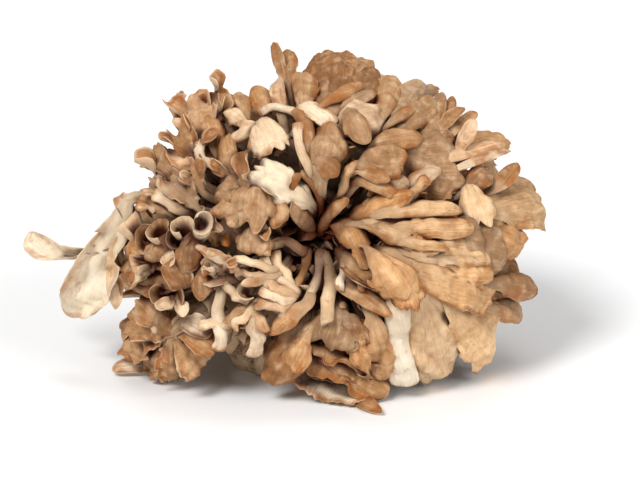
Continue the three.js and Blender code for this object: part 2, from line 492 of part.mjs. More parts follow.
function columnsFor(frond) {
  const bent = Math.abs(frond.cup);
  if (bent > 3.2) {
    return 4;
  }
  if (bent > 1.9 || (frond.width > 42 && frond.kind !== "horn")) {
    return 3;
  }
  return frond.width < 18 ? 1 : 2;
}

// A thin stem has three sides.
function thinStem(frond, k) {
  const line = growthLine(frond);
  const rows = rowsFor(frond, line.gap);
  const points = rows.map((t) => keepInRoom(line.at(t), k, halfWidth(frond, t)));
  return stemSolid(points, rows.map((t) => halfWidth(frond, t) * 1.15), 3, 0);
}

function frondSolid(frond, k, seed) {
  if (frond.kind === "stem" && frond.width < 7.5) {
    return thinStem(frond, k);
  }
  const line = growthLine(frond);
  const rows = rowsFor(frond, line.gap);
  const columns = columnsFor(frond);
  const ways = rows.map((t) => line.at(t + 0.03).sub(line.at(t - 0.03)).normalize());
  ways[0] = line.at(-0.97).sub(line.at(-1)).normalize();
  // carry the upper side from the blade's root out to the tip and back down the stalk
  const frames = [];
  const zero = rows.indexOf(0);
  const carry = (upper, way) => upper.clone().addScaledVector(way, -upper.dot(way)).normalize();
  frames[zero] = { upper: carry(line.upper, ways[zero]) };
  for (let i = zero + 1; i < rows.length; i += 1) {
    frames[i] = { upper: carry(line.upper, ways[i]) };
  }
  for (let i = zero - 1; i >= 0; i -= 1) {
    frames[i] = { upper: carry(frames[i + 1].upper, ways[i]) };
  }
  frames.forEach((frame, i) => {
    frame.way = ways[i];
    frame.left = frame.upper.clone().cross(ways[i]);
  });
  const grid = rows.map((t, i) => {
    const row = [];
    for (let j = 0; j <= columns; j += 1) {
      const u = (2 * j) / columns - 1;
      const thick = thickness(frond, t, u);
      const raw = frondPoint(frond, line, frames[i], t, u, seed);
      row.push({ thick, point: keepInRoom(raw, k, thick / 2) });
    }
    return row;
  });
  return thicken(grid);
}

// Both faces of a blade are split into triangles alike; the buried end keeps only its corners.
function thicken(grid) {
  const last = grid.length - 1;
  const wide = grid[0].length - 1;
  const positions = [];
  const at = (i, j) => grid[clamp(i, 0, last)][clamp(j, 0, wide)].point;
  [1, -1].forEach((side) => {
    for (let i = 0; i <= last; i += 1) {
      for (let j = 0; j <= wide; j += 1) {
        const along = at(i + 1, j).clone().sub(at(i - 1, j));
        const across = at(i, j + 1).clone().sub(at(i, j - 1));
        const normal = along.cross(across).normalize();
        const p = grid[i][j].point.clone().addScaledVector(normal, (side * grid[i][j].thick) / 2);
        positions.push(p.x, p.y, Math.max(p.z, 0));
      }
    }
  });
  const index = (side, i, j) => side * (last + 1) * (wide + 1) + i * (wide + 1) + j;
  const faces = [];
  const face = (a, b, c) => {
    if (a !== b && b !== c && c !== a) {
      faces.push(a, b, c);
    }
  };
  // a column of the buried row: its left corner, or its right one
  const corner = (side, i, j) => index(side, i, i > 0 || j === 0 ? j : j > wide / 2 ? wide : 0);
  for (let i = 0; i < last; i += 1) {
    for (let j = 0; j < wide; j += 1) {
      face(corner(0, i, j), index(0, i + 1, j), index(0, i + 1, j + 1));
      face(corner(0, i, j), index(0, i + 1, j + 1), corner(0, i, j + 1));
      face(corner(1, i, j), index(1, i + 1, j + 1), index(1, i + 1, j));
      face(corner(1, i, j), corner(1, i, j + 1), index(1, i + 1, j + 1));
    }
    face(index(0, i, 0), index(1, i, 0), index(1, i + 1, 0));
    face(index(0, i, 0), index(1, i + 1, 0), index(0, i + 1, 0));
    face(index(0, i, wide), index(0, i + 1, wide), index(1, i + 1, wide));
    face(index(0, i, wide), index(1, i + 1, wide), index(1, i, wide));
  }
  face(index(0, 0, 0), index(0, 0, wide), index(1, 0, wide));
  face(index(0, 0, 0), index(1, 0, wide), index(1, 0, 0));
  for (let j = 0; j < wide; j += 1) {
    face(index(0, last, j), index(1, last, j), index(1, last, j + 1));
    face(index(0, last, j), index(1, last, j + 1), index(0, last, j + 1));
  }
  const geometry = new THREE.BufferGeometry();
  geometry.setAttribute("position", new THREE.Float32BufferAttribute(positions, 3));
  geometry.setIndex(faces);
  return solidFrom(geometry);
}

// ---- solids -----------------------------------------------------------------------------------
function solidFrom(geometry) {
  geometry.deleteAttribute("normal");
  geometry.deleteAttribute("uv");
  const merged = mergeVertices(geometry, 1e-4);
  return new wasm.Manifold(new wasm.Mesh({
    numProp: 3,
    vertProperties: new Float32Array(merged.attributes.position.array),
    triVerts: new Uint32Array(merged.index.array),
  }));
}

// A tapered stem of a few sides along a line of points.
function stemSolid(points, radii, sides, extra, lump = () => 1) {
  const rings = points.length - 1;
  const tube = new THREE.CylinderGeometry(1, 1, 1, sides, rings, true);
  const place = tube.attributes.position;
  const corner = new THREE.Vector3();
  const frames = points.map((point, i) => {
    const next = points[Math.min(i + 1, rings)];
    const way = next.clone().sub(points[Math.max(i - 1, 0)]).normalize();
    const across = new THREE.Vector3(1, 0, 0).addScaledVector(way, -way.x).normalize();
    return { way, across, other: way.clone().cross(across) };
  });
  for (let v = 0; v < place.count; v += 1) {
    corner.fromBufferAttribute(place, v);
    const i = Math.round((corner.y + 0.5) * rings);
    const radius = radii[i] * lump(Math.atan2(corner.x, corner.z), i) + extra;
    const { way, across, other } = frames[i];
    const p = points[i].clone().addScaledVector(across, corner.z * radius);
    p.addScaledVector(other, corner.x * radius).addScaledVector(way, i === rings ? extra : 0);
    place.setXYZ(v, p.x, p.y, p.z);
  }
  // the first row of the tube is its far end
  const index = Array.from(tube.index.array);
  const near = rings * (sides + 1);
  for (let s = 1; s < sides - 1; s += 1) {
    index.push(0, s, s + 1, near, near + s + 1, near + s);
  }
  tube.setIndex(index);
  return solidFrom(tube);
}

// The dense middle of the whole head, to be shared out between the branches.
function coreSolid() {
  const geometry = new THREE.IcosahedronGeometry(1, 2);
  const place = geometry.attributes.position;
  const way = new THREE.Vector3();
  for (let v = 0; v < place.count; v += 1) {
    way.fromBufferAttribute(place, v).normalize();
    const p = HEART.clone().addScaledVector(way, coreReach(way));
    place.setXYZ(v, p.x, p.y, p.z);
  }
  return solidFrom(geometry);
}

// The butt: a lumpy foot that narrows to the heart, with short necks towards the branches.
function buttSolid(extra) {
  const foot = new THREE.Vector3(FOOT.x, FOOT.y, 0);
  const trunk = [
    foot.clone().setZ(-6),
    foot.clone().setZ(6),
    foot.clone().lerp(HEART, 0.12).setZ(17),
    foot.clone().lerp(HEART, 0.34).setZ(30),
    foot.clone().lerp(HEART, 0.72).setZ(48),
    HEART.clone().addScaledVector(Z_UP, 5),
  ];
  const radii = [FOOT.radius - 4, FOOT.radius - 1, FOOT.radius, 22, 15, 9];
  const lump = (angle, i) => 1 + 0.09 * Math.sin(3 * angle + 0.9 * i) + 0.06 * Math.sin(5 * angle);
  let body = stemSolid(trunk, radii, 18, extra, lump);
  BUTT_LUMPS.forEach(([x, y, z, towardX, towardY, towardZ, radius]) => {
    const start = new THREE.Vector3(x, y, z);
    const end = new THREE.Vector3(towardX, towardY, towardZ);
    const middle = start.clone().lerp(end, 0.55);
    body = body.add(stemSolid([start, middle, end], [radius, radius, radius * 0.62], 8, extra));
  });
  return body.subtract(boxSolid(400, 400, 40, 0, 0, -20));
}

// Lumps at the foot and broken stubs on it: from, towards, radius.
const BUTT_LUMPS = [
  [-4, -6, -4, -29, -14, 13, 12],
  [2, -6, -4, 6, -30, 10, 10],
  [-4, 2, -4, -30, 12, 14, 11],
  [4, 6, -4, 20, 24, 14, 12],
  [-4, 8, -4, -8, 32, 12, 10],
  [6, 0, -4, 33, -6, 12, 9],
];

function boxSolid(w, d, h, x, y, z) {
  return solidFrom(new THREE.BoxGeometry(w, d, h).translate(x, y, z));
}

// Vertices of two skins that touch are drawn a hair back into their own solid.
function parted(solid) {
  const mesh = solid.getMesh();
  const place = Array.from(mesh.vertProperties);
  const at = (v) => new THREE.Vector3(place[v * 3], place[v * 3 + 1], place[v * 3 + 2]);
  const normals = Array.from({ length: mesh.numVert }, () => new THREE.Vector3());
  for (let f = 0; f < mesh.triVerts.length; f += 3) {
    const [a, b, c] = mesh.triVerts.slice(f, f + 3);
    const normal = at(b).sub(at(a)).cross(at(c).sub(at(a)));
    [a, b, c].forEach((v) => normals[v].add(normal));
  }
  const cells = new Map();
  for (let v = 0; v < mesh.numVert; v += 1) {
    const key = [0, 1, 2].map((axis) => Math.round(place[v * 3 + axis] / 0.02)).join();
    cells.set(key, [...(cells.get(key) ?? []), v]);
  }
  [...cells.values()].filter((same) => same.length > 1).flat().forEach((v) => {
    const back = normals[v].normalize().multiplyScalar(-0.03);
    place[v * 3] += back.x;
    place[v * 3 + 1] += back.y;
    place[v * 3 + 2] = Math.max(0, place[v * 3 + 2] + back.z);
  });
  return new wasm.Manifold(new wasm.Mesh({
    numProp: 3,
    vertProperties: new Float32Array(place),
    triVerts: mesh.triVerts,
  }));
}

// Whether every edge has exactly two faces once near vertices are one.
function isTidy(solid) {
  const mesh = solid.getMesh();
  const names = new Map();
  const nameOf = (v) => {
    const key = [0, 1, 2].map((axis) => Math.round(mesh.vertProperties[v * 3 + axis] * 1000)).join();
    names.set(key, names.get(key) ?? names.size);
    return names.get(key);
  };
  const edges = new Set();
  for (let f = 0; f < mesh.triVerts.length; f += 3) {
    const corners = [0, 1, 2].map((e) => nameOf(mesh.triVerts[f + e]));
    if (new Set(corners).size < 3) {
      continue;
    }
    for (let e = 0; e < 3; e += 1) {
      const edge = `${corners[e]},${corners[(e + 1) % 3]}`;
      if (edges.has(edge)) {
        return false;
      }
      edges.add(edge);
    }
  }
  return [...edges].every((edge) => edges.has(edge.split(",").reverse().join(",")));
}

function outerBody(solid) {
  return solid.decompose().sort((a, b) => b.volume() - a.volume())[0];
}

// Small facets are let go, by the first amount that leaves a tidy skin.
function calmed(solid, most) {
  for (const share of [1, 0.9, 0.8, 0.7, 0.6, 0.5, 0.3, 0.1]) {
    let body = outerBody(solid.simplify(most * share));
    for (let pass = 0; pass < 4; pass += 1) {
      if (isTidy(body)) {
        return body;
      }
      body = outerBody(parted(body));
    }
  }
  throw new Error("no tidy skin");
}

// ---- put it together --------------------------------------------------------------------------
// What lies in a branch's own room.
function inRoom(solid, k) {
  let inside = solid;
  BRANCHES.forEach((other, j) => {
    if (j !== k) {
      const across = BRANCHES[k].way.clone().sub(other.way).normalize();
      inside = inside.trimByPlane(across.toArray(), HEART.dot(across) + CLEAR / 2);
    }
  });
  return inside;
}

const group = new THREE.Group();
group.name = "maitake_mushroom";

function addPart(name, solid, colour) {
  const mesh = solid.getMesh();
  const geometry = new THREE.BufferGeometry();
  const points = [];
  for (let v = 0; v < mesh.numVert; v += 1) {
    const at = v * mesh.numProp;
    points.push(mesh.vertProperties[at], mesh.vertProperties[at + 1], mesh.vertProperties[at + 2]);
  }
  geometry.setAttribute("position", new THREE.Float32BufferAttribute(points, 3));
  geometry.setIndex(Array.from(mesh.triVerts));
  const material = new THREE.MeshStandardMaterial({ color: colour, roughness: 0.82, metalness: 0 });
  const part = new THREE.Mesh(geometry, material);
  part.name = name;
  group.add(part);
}

[...FACE_FRONDS.map(frondFromFace), ...shelfFronds()].forEach((frond, i) => {
  const where = frond.root.clone().lerp(frond.tip, 0.6);
  BRANCHES[nearestBranch(where)].fronds.push({ frond, seed: chance(i + 0.33) });
});

const buttRoom = buttSolid(CLEAR);
addPart("stem_base", calmed(buttSolid(0), 0.05), TONES.cream);

const core = coreSolid();
BRANCHES.forEach((branch, k) => {
  let solid = inRoom(core, k);
  branch.fronds.forEach(({ frond, seed }) => {
    solid = solid.add(frondSolid(frond, k, seed));
  });
  solid = inRoom(solid, k).subtract(buttRoom);
  const fine = calmed(outerBody(solid), 0.44);
  const tones = branch.fronds.map(({ frond }) => new THREE.Color(TONES[frond.tone]));
  const colour = tones.reduce((sum, tone) => sum.add(tone), new THREE.Color(0, 0, 0));
  colour.multiplyScalar(1 / Math.max(1, tones.length));
  addPart(branch.name, fine, colour);
});

export default group;
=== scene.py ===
"""Maitake mushroom (hen of the woods): a cut butt and twelve branches of curled fronds.

Metres, standing on the cut foot at z = 0. The head faces -Y and a little upwards.
"""

import json
import math

import bmesh
import bpy
import numpy as np
from mathutils import Matrix, Vector, noise

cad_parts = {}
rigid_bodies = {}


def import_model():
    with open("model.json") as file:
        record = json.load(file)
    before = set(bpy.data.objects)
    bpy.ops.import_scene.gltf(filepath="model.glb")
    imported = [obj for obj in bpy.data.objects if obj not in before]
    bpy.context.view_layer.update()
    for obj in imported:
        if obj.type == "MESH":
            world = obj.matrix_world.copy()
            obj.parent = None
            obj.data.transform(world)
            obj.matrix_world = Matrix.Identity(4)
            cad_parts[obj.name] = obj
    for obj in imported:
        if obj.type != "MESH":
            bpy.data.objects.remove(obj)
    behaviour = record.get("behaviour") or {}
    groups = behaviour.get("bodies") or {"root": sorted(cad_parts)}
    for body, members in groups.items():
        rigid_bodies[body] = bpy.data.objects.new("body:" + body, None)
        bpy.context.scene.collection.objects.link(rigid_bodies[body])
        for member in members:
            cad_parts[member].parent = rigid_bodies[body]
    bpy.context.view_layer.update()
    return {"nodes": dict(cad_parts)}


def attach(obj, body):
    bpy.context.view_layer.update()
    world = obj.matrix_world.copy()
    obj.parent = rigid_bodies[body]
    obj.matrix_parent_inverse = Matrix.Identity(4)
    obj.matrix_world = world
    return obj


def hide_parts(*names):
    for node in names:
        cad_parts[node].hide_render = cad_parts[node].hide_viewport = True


bl_info = {
    "name": "Maitake mushroom",
    "version": (1, 0, 0),
    "blender": (4, 5, 0),
    "location": "View3D > Sidebar > Maitake",
    "description": "Builds a head of maitake: butt, face fronds, back fronds, young fronds and stage",
    "category": "Add Mesh",
}

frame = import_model()

MM = 0.001

# ---- the head's form, shared by every piece --------------------------------------------------
HEART = np.array([15, 0, 68]) * MM  # where all branches part
REACH_SIDE = 118 * MM  # from the heart to the ends of the fronds
REACH_HEIGHT = 92 * MM
REACH_FRONT = 78 * MM
REACH_BACK = 84 * MM
FACE_TILT = math.radians(18)  # the face leans back from upright
AXIS_TILT = math.radians(20)  # the rosette looks above the face's own direction
CORE_SHARE = 0.65  # reach of the dense middle that the fronds stand out of, as a share of theirs
CORE_FRONT = 0.85  # the same towards the face
CORE_INNER = 13 * MM
CORE_PIT = 0.5  # how far the middle dips under the pit of the face, and how widely
CORE_PIT_SPREAD = 0.012
LEFT_SHOULDER = 0.2  # how much lower the head is at its upper left
WALL_BEND = 1.8 * MM  # how softly a frond bends away from its neighbour's room
FLOOR_BEND = 1.2 * MM  # how softly it bends away from the floor
OPEN_ROOM = 1.0  # a give so large that no wall is felt

RIGHT = np.array([1.0, 0.0, 0.0])
UP = np.array([0.0, math.sin(FACE_TILT), math.cos(FACE_TILT)])
OUT = np.array([0.0, -math.cos(FACE_TILT), math.sin(FACE_TILT)])
Z_UP = np.array([0.0, 0.0, 1.0])
AXIS = OUT * math.cos(AXIS_TILT) + UP * math.sin(AXIS_TILT)

# name, angle round the face from its right in degrees, how far the branch points out of the face
BRANCHES = [
    ("fronds_crown", 75, 0.4),
    ("fronds_left_high", 120, 0.4),
    ("fronds_left", 178, 0.4),
    ("fronds_left_low", 220, 0.4),
    ("fronds_front_low", 270, 0.4),
    ("fronds_right_low", 314, 0.4),
    ("fronds_right", 354, 0.4),
    ("fronds_right_high", 36, 0.4),
    ("fronds_back_high", 90, -1),
    ("fronds_back_left", 190, -1),
    ("fronds_back_right", 350, -1),
    ("fronds_back_low", 270, -2.2),
]
FACE_BRANCHES = [row[0] for row in BRANCHES[:8]]
BACK_BRANCHES = [row[0] for row in BRANCHES[8:]]

# Outline of each kind: width at the root, where it is widest, width at the tip, roundness of the
# far edge, and how the width grows.
KINDS = {
    "fan": (0.24, 0.8, 0.6, 0.24, 0.9),
    "tongue": (0.6, 0.66, 0.5, 0.14, 0.8),
    "spoon": (0.24, 0.84, 0.6, 0.16, 2.6),
    "leaf": (0.7, 0.35, 0.1, 0.02, 0.8),
    "roll": (0.62, 0.8, 0.74, 0.06, 0.8),
    "horn": (0.24, 1, 1, 0, 1.1),
    "stem": (0.95, 0.4, 0.72, 0.02, 1),
    "paddle": (0.26, 0.88, 0.62, 0.14, 9),
    "wedge": (0.14, 1, 1, 0.12, 1),
}
BROAD_KINDS = ("fan", "spoon", "tongue", "paddle", "wedge")  # lobed, curled and pleated as caps

# Fronds that make up the face. Each row: kind; root right, up, off; tip right, up, off; width;
# bend towards the upper side; sweep to its left; cup across in radians (minus turns the margins
# away); turn about its length in degrees; margin wave; tone.
# "off" is the distance in front of the rosette's face. Millimetres.
FACE_FRONDS = [
    # crown
    ("fan", 0, 139, -5, -2, 160, -7, 9, 2, -1, 0.8, 0, 1.8, "tan"),
    ("fan", 19, 129, -4, 21, 159, -8, 31, 4, 0, -0.6, 0, 0.8, "brown"),
    ("fan", 6, 128, 2, 5, 147, 2, 17, 4, 0, -0.9, 0, 1, "tan"),
    ("tongue", -4, 126, 0, -7, 141, -1, 7, 2, 0, 0.8, 0, 1.4, "pale"),
    ("fan", -12, 124, -2, -17, 139, -4, 12, 2, 0, -0.5, 0, 0.6, "tan"),
    ("fan", -22, 122, -2, -25, 137, -3, 11, 3, 0, -0.9, 0, 1, "tan"),
    ("tongue", -29, 123, -4, -34, 135, -6, 6, 1, 0, 0.4, 0, 0.5, "tan"),
    ("stem", -32, 125, -4, -35, 137, -5, 2.6, 0, 1, 0, 0, 0, "tan"),
    ("tongue", -34, 122, -4, -41, 133, -6, 6, 1, -1, 0.5, 0, 1, "ochre"),
    ("fan", 30, 138, -12, 39, 154, -13, 14, 2, 0, -0.5, 0, 0.8, "tan"),
    ("fan", 37, 130, -6, 42, 149, -8, 16, 3, 0, -0.5, 0, 0.8, "brown"),
    ("spoon", 15, 126, 4, 37, 139, 5, 8, 2, 1, -0.6, 0, 0.5, "tan"),
    ("tongue", 30, 128, 2, 44, 135, 1, 7, 1, 1, -0.5, 0, 0.5, "taupe"),
    ("fan", 46, 124, -4, 52, 144, -6, 14, 3, 0, -0.4, 0, 0.8, "tan"),
    ("fan", 54, 125, -6, 68, 141, -8, 14, 3, 0, -0.4, 0, 1, "taupe"),
    ("fan", 56, 117, -2, 73, 132, -4, 14, 3, 0, -0.5, 0, 1, "tan"),
    ("tongue", 70, 114, -4, 76, 136, -6, 9, 2, 0, -0.6, 0, 0.6, "taupe"),
    ("tongue", 77, 120, -7, 82, 135, -8, 5.5, 1, 0, -0.4, 0, 0.5, "tan"),
    ("roll", 50, 120, 3, 61, 126, 3, 7, 1, 0, -2.2, 0, 0, "tan"),
    ("tongue", 75, 115, -4, 86, 125, -5, 6, 1, 1, 0.5, 0, 0.6, "tan"),
    ("tongue", 81, 115, -6, 94, 124, -7, 6, 1, 1, 0.5, 0, 0.6, "tan"),
    ("fan", 83, 105, -4, 91, 118, -5, 8, 2, 0, 0.4, 0, 0.8, "pale"),
    # upper right
    ("fan", 28, 117, 1, 47, 126, 1, 24, 4, 0, -0.8, 0, 1, "pale"),
    ("fan", 30, 123, 8, 38, 108, 13, 13, 5, 0, -1, 0, 0.6, "tan"),
    ("tongue", 40, 108, 3, 67, 112.5, 3, 12, 4, 0, -0.9, 0, 0.6, "tan"),
    ("fan", 56, 102, -7, 91, 98, -4, 36, 5, 0, -0.4, 0, 1.2, "taupe"),
    ("tongue", 58, 82, 1, 74, 97, 3, 10, 3, 2, -1, 0, 0.6, "pale"),
    ("stem", 58, 82, 4, 68, 91, 6, 5, 1, 1, 0, 0, 0, "tan"),
    ("fan", 34, 101, 4, 61, 99, 6, 20, 4, 0, -0.7, 0, 1, "tan"),
    ("tongue", 37, 95, 6, 50, 90, 9, 6.5, 1, 0, -0.6, 0, 0.4, "tan"),
    ("fan", 47, 91, 0, 62, 83, 2, 12, 3, 0, -0.6, 0, 0.8, "taupe"),
    ("stem", 27, 88, 0, 35, 99, 3, 5, 1, 1, 0, 0, 0, "tan"),
    ("fan", 17, 96, 3, 22, 119, 5, 23, 5, 0, -1.3, 0, 1, "tan"),
    ("tongue", 17, 100, 8, 25, 93, 10, 11, 2, 0, -0.9, 0, 0.4, "brown"),
    ("stem", 12, 92, 0, 11, 106, 2, 5, 1, 0, 0, 0, 0, "orange"),
    # right
    ("leaf", 84, 104, -2, 109, 110.5, -2, 6.5, 1, 0, 0.5, 0, 0.5, "pale"),
    ("leaf", 89, 99, 0, 110, 105.5, 0, 4.5, 1, 0, 0.4, 0, 0.5, "cream"),
    ("fan", 88, 87, -2, 101, 98, -2, 13, 3, 0, -0.6, 0, 0.8, "brown"),
    ("wedge", 88, 88, 1, 95, 67, 4, 18, 2, 0, -0.3, 0, 0.8, "smooth"),
    ("fan", 101, 78, -3, 128, 87, -5, 32, 4, 0, -0.5, 0, 1.2, "fibre"),
    ("leaf", 103, 88, -3, 114, 100, -4, 8, 1, 0, 0.3, 0, 0.4, "tan"),
    ("fan", 100, 71, -1, 119, 60, -2, 32, 3, 0, -0.4, 0, 1.6, "orange"),
    ("fan", 85, 65, 0, 111, 51, 0, 33, 4, 0, -0.4, 0, 1.2, "taupe"),
    ("fan", 60, 52, 1, 107, 40, 2, 38, 6, 0, -0.4, 0, 2, "fibre"),
    ("fan", 64, 56, 3, 103, 54, 5, 17, 4, 0, -0.6, 0, 2, "fibre"),
    ("fan", 66, 49, 4, 101, 45, 6, 19, 4, 0, -0.6, 0, 2, "fibre"),
    ("tongue", 53, 76, 3, 86, 76, 6, 11, 3, 1, -1.6, 0, 0.5, "fibre"),
    ("tongue", 48, 71, -1, 84, 71, 1, 5, 1, 0, 0.6, 0, 0.8, "pale"),
    ("fan", 57, 67, 3, 89, 67, 5, 13, 3, 0, -0.7, 0, 1.8, "fibre"),
    ("tongue", 58, 61, 4, 73.5, 55, 7, 10, 2, 0, -0.7, 0, 1.8, "fibre"),
    ("spoon", 37, 68, 3, 63, 60, 8, 13, 3, 1, -0.8, 0, 0.8, "fibre"),
    ("fan", 103, 39, 0, 126, 37, -2, 14, 3, 0, -0.5, 0, 1, "tan"),
    ("fan", 99, 28, 0, 119, 23, -1, 13, 3, 0, -0.5, 0, 1, "tan"),
    # centre right
    ("leaf", 32, 69, -5, 61, 84, 9, 13, 4, 2, -1.6, 0, 0.6, "orange"),
    ("stem", 18, 80, -3, 50, 82, 5, 8, 2, 9, 0, 0, 0, "tan"),
    ("tongue", 11, 60, -5, 31, 81, 7, 9, 3, 5, -0.8, 0, 0.4, "tan"),
    ("tongue", 25, 71, -1, 37, 54, 8, 14, 4, 2, -1.2, 0, 0.8, "orange"),
    ("fan", 33, 58, 4, 38, 49, 9, 11, 2, 0, -1, 0, 1.8, "orange"),
    ("fan", 43, 56, 6, 59, 31, 8, 34, 12, 0, -1.5, 0, 1.4, "orange"),
    ("tongue", 30, 49, -3, 43, 36, 4, 9, 3, -2, 1.2, 0, 0.6, "tan"),
    ("stem", 27, 53, -2, 24, 36, 3, 4.8, 1, 0, 0, 0, 0, "cream"),
    ("stem", 29, 50, -2, 35, 36, 3, 4.2, 1, 3, 0, 0, 0, "cream"),
    ("stem", 54, 32, 2, 57, -11, 2, 13, 2, 0, 0, 0, 0, "white"),
    ("tongue", 29, 36, 0, 50, 24, 6, 9, 2, 1, -0.8, 0, 0.6, "tan"),
    ("tongue", 13, 63, -6, 24, 64, 1, 7, 2, 3, 1, 0, 0.6, "brown"),
    ("stem", 16, 60, -6, 28, 62, -1, 3.6, 1, 2, 0, 0, 0, "tan"),
    # centre left
    ("tongue", 7, 106, 2, 1, 126, 6, 9, 4, -5, -1.2, 0, 0.8, "brown"),
    ("stem", 9, 97, 3, 3, 118, 5, 4.6, 1, 1, 0, 0, 0, "cream"),
    ("stem", 6, 120, 0, -14, 124, 3, 4.6, 1, -4, 0, 0, 0, "cream"),
    ("leaf", 6, 119, 0, 8, 136, 3, 8, 1, 1, -0.8, 0, 0.6, "cream"),
    ("wedge", 4, 124, 0, 20, 116, 5, 13, 4, 2, -1, 0, 2.2, "cream"),
    ("wedge", -15, 117, 1, -28, 111, 5, 12, 3, 0, -1.3, 0, 1.8, "cream"),
    ("wedge", -13, 117, 1, -6, 103, 8, 26, 6, 0, -1.7, 0, 2.4, "cream"),
    ("fan", 5, 83, 1, -20, 98, 9, 23, 4, 0, -0.9, 0, 2.6, "white"),
    ("tongue", 14, 76, -4, 7, 93, 5, 8, 5, -4, -1.4, 0, 0.8, "brown"),
    ("fan", 10, 66, -3, 1, 78, 8, 15, 4, 0, -1.1, 0, 1.6, "taupe"),
    ("fan", 12, 70, -4, 6, 61, 4, 10, 2, 0, -1, 0, 1.6, "brown"),
    ("fan", -15, 88, 2, -19, 65, 8, 25, 4, 0, -0.7, 0, 1.2, "taupe"),
    ("fan", -7, 84, 2, -6, 67, 7, 15, 3, 0, -0.7, 0, 1.2, "tan"),
    ("fan", -20, 85, 1, -38, 88, 4, 20, 3, 0, -0.6, 0, 1.2, "taupe"),
    ("fan", -20, 82, 2, -36, 73, 6, 18, 3, 0, -0.6, 0, 1.2, "taupe"),
    ("fan", -15, 68, 1, -18, 52, 4, 17, 3, 0, -0.8, 0, 1, "taupe"),
    ("stem", 4, 57, 0, -12, 54, 6, 6.5, 1, -12, 0, 0, 0, "fibre"),
    ("stem", 4, 35, -2, -14, 53, 1, 5, 1, 1, 0, 0, 0, "cream"),
    ("stem", 4, 34, -3, -8, 56, -1, 5, 1, 1, 0, 0, 0, "cream"),
    ("stem", 3, 33, 0, -16, 45, 3, 6, 1, 1, 0, 0, 0, "pale"),
    ("stem", 2, 31, 1, -15, 36, 3, 5.4, 1, 1, 0, 0, 0, "cream"),
    ("stem", -9, 31, 3, 9, 58, -2, 4.6, 0, -7, 0, 0, 0, "tan"),
    ("stem", -3, 24, 4, 14, 57, -3, 4.8, 0, -7, 0, 0, 0, "cream"),
    ("stem", 18, 22, 3, 18, 56, -3, 6.4, 0, -2, 0, 0, 0, "cream"),
    ("tongue", -28, 47, 3, -44, 57, 5, 7, 2, 0, 0.8, 0, 1, "cream"),
    ("stem", -11, 47, 4, -28, 52, 6, 4.4, 1, -1, 0, 0, 0, "cream"),
    ("stem", -10, 43, 4, -27, 45, 6, 4.4, 0, 0, 0, 0, 0, "pale"),
    ("fan", -29, 48, 2, -43, 50, 6, 13, 3, 0, -0.8, 0, 2.4, "cream"),
    ("tongue", -30, 42, 2, -40, 39, 5, 7, 2, 0, 1.2, 0, 1.4, "pale"),
    # forked pale stems
    ("stem", -33, 35, 1, -34, 6, 6, 6.6, 1, 0, 0, 0, 0, "cream"),
    ("stem", -32, 19, 4, -45, 20, 6, 6, 0, 0, 0, 0, 0, "cream"),
    ("stem", -34, 17, 3, -20, 28, 5, 6, 1, 1, 0, 0, 0, "tan"),
    ("stem", -18, 28, 4, -28, 18, 7, 5.6, 1, 0, 0, 0, 0, "cream"),
    ("stem", -19, 27, 4, -11, 16, 7, 5.6, 1, 1, 0, 0, 0, "pale"),
    ("stem", -17, 22, 4, -17, 5, 6, 8, 1, 0, 0, 0, 0, "cream"),
    ("stem", -30, 38, 5, -20, 30, 6, 5, 1, 0, 0, 0, 0, "cream"),
    ("stem", 2, 29, 0, -16, 31, 5, 6, 1, 2, 0, 0, 0, "pale"),
    ("horn", -22, 33, -2, -25, 38, 8, 19, 0, 0, 5, 0, 0.4, "cream"),
    ("tongue", 4, 27, 4, -12, 14, 7, 9, 3, 0, -0.8, 0, 0.6, "tan"),
    # left
    ("stem", -52, 114, -4, -58.5, 131, -5, 5.6, 1, 1, 0, 0, 0, "tan"),
    ("fan", -42, 107, -3, -48, 134, -3, 17, 3, 0, 0.7, 0, 2.2, "pale"),
    ("fan", -35, 106, -1, -39, 127, -1, 13, 4, 0, -0.8, 0, 1.8, "tan"),
    ("fan", -28, 122, -4, -31, 134, -5, 9, 2, 0, -0.6, 0, 0.8, "tan"),
    ("fan", -24, 118, 2, -33, 124, 5, 11, 2, -2, -1.3, 0, 0.8, "cream"),
    ("fan", -47, 100, 1, -56, 116, 1, 15, 4, 0, 0.8, 0, 2.8, "tan"),
    ("fan", -46, 92, 3, -60, 103, 3, 14, 3, 0, 1.2, 20, 2.4, "pale"),
    ("fan", -44, 88, 4, -50, 100, 6, 12, 3, 0, 1, -20, 2.4, "tan"),
    ("fan", -48, 80, 3, -60, 90, 4, 13, 3, 0, 0.9, 0, 2.4, "taupe"),
    ("tongue", -27, 95, 3, -32, 115, 4, 11, 3, 1, -1, 0, 2.8, "tan"),
    ("tongue", -22, 88, 4, -23, 106, 5, 7, 3, -2, 1.6, -30, 2, "brown"),
    ("stem", -38, 98, 4, -44, 110, 5, 5.4, 0, 4, 0, 0, 0, "cream"),
    ("fan", -56, 92, 0, -70, 101, -1, 14, 3, 0, 1.4, 0, 1.6, "tan"),
    ("stem", -56, 78, 3, -65, 86, 4, 7.5, 0, 0, 0, 0, 0, "cream"),
    ("fan", -62, 77, 1, -75, 84, 0, 13, 3, 0, -1.8, 0, 1, "tan"),
    ("tongue", -79, 72, -3, -86, 82, -3, 8, 2, 0, 0.8, 0, 1, "cream"),
    ("horn", -74, 60, -9, -82, 70, 2, 27, 1, 0, 5, 0, 0.8, "pale"),
    ("horn", -70, 56, -8, -76, 58, 7, 30, 1, 0, 5, 0, 1, "tan"),
    ("horn", -64, 60, -7, -68, 69, 7, 27, 1, 0, 5, 0, 0.8, "tan"),
    ("horn", -57, 56, -6, -60, 59, 8, 24, 1, 0, 5, 0, 0.6, "cream"),
    ("horn", -53, 62, -7, -56, 71, 8, 24, 1, 0, 5, 0, 0.8, "cream"),
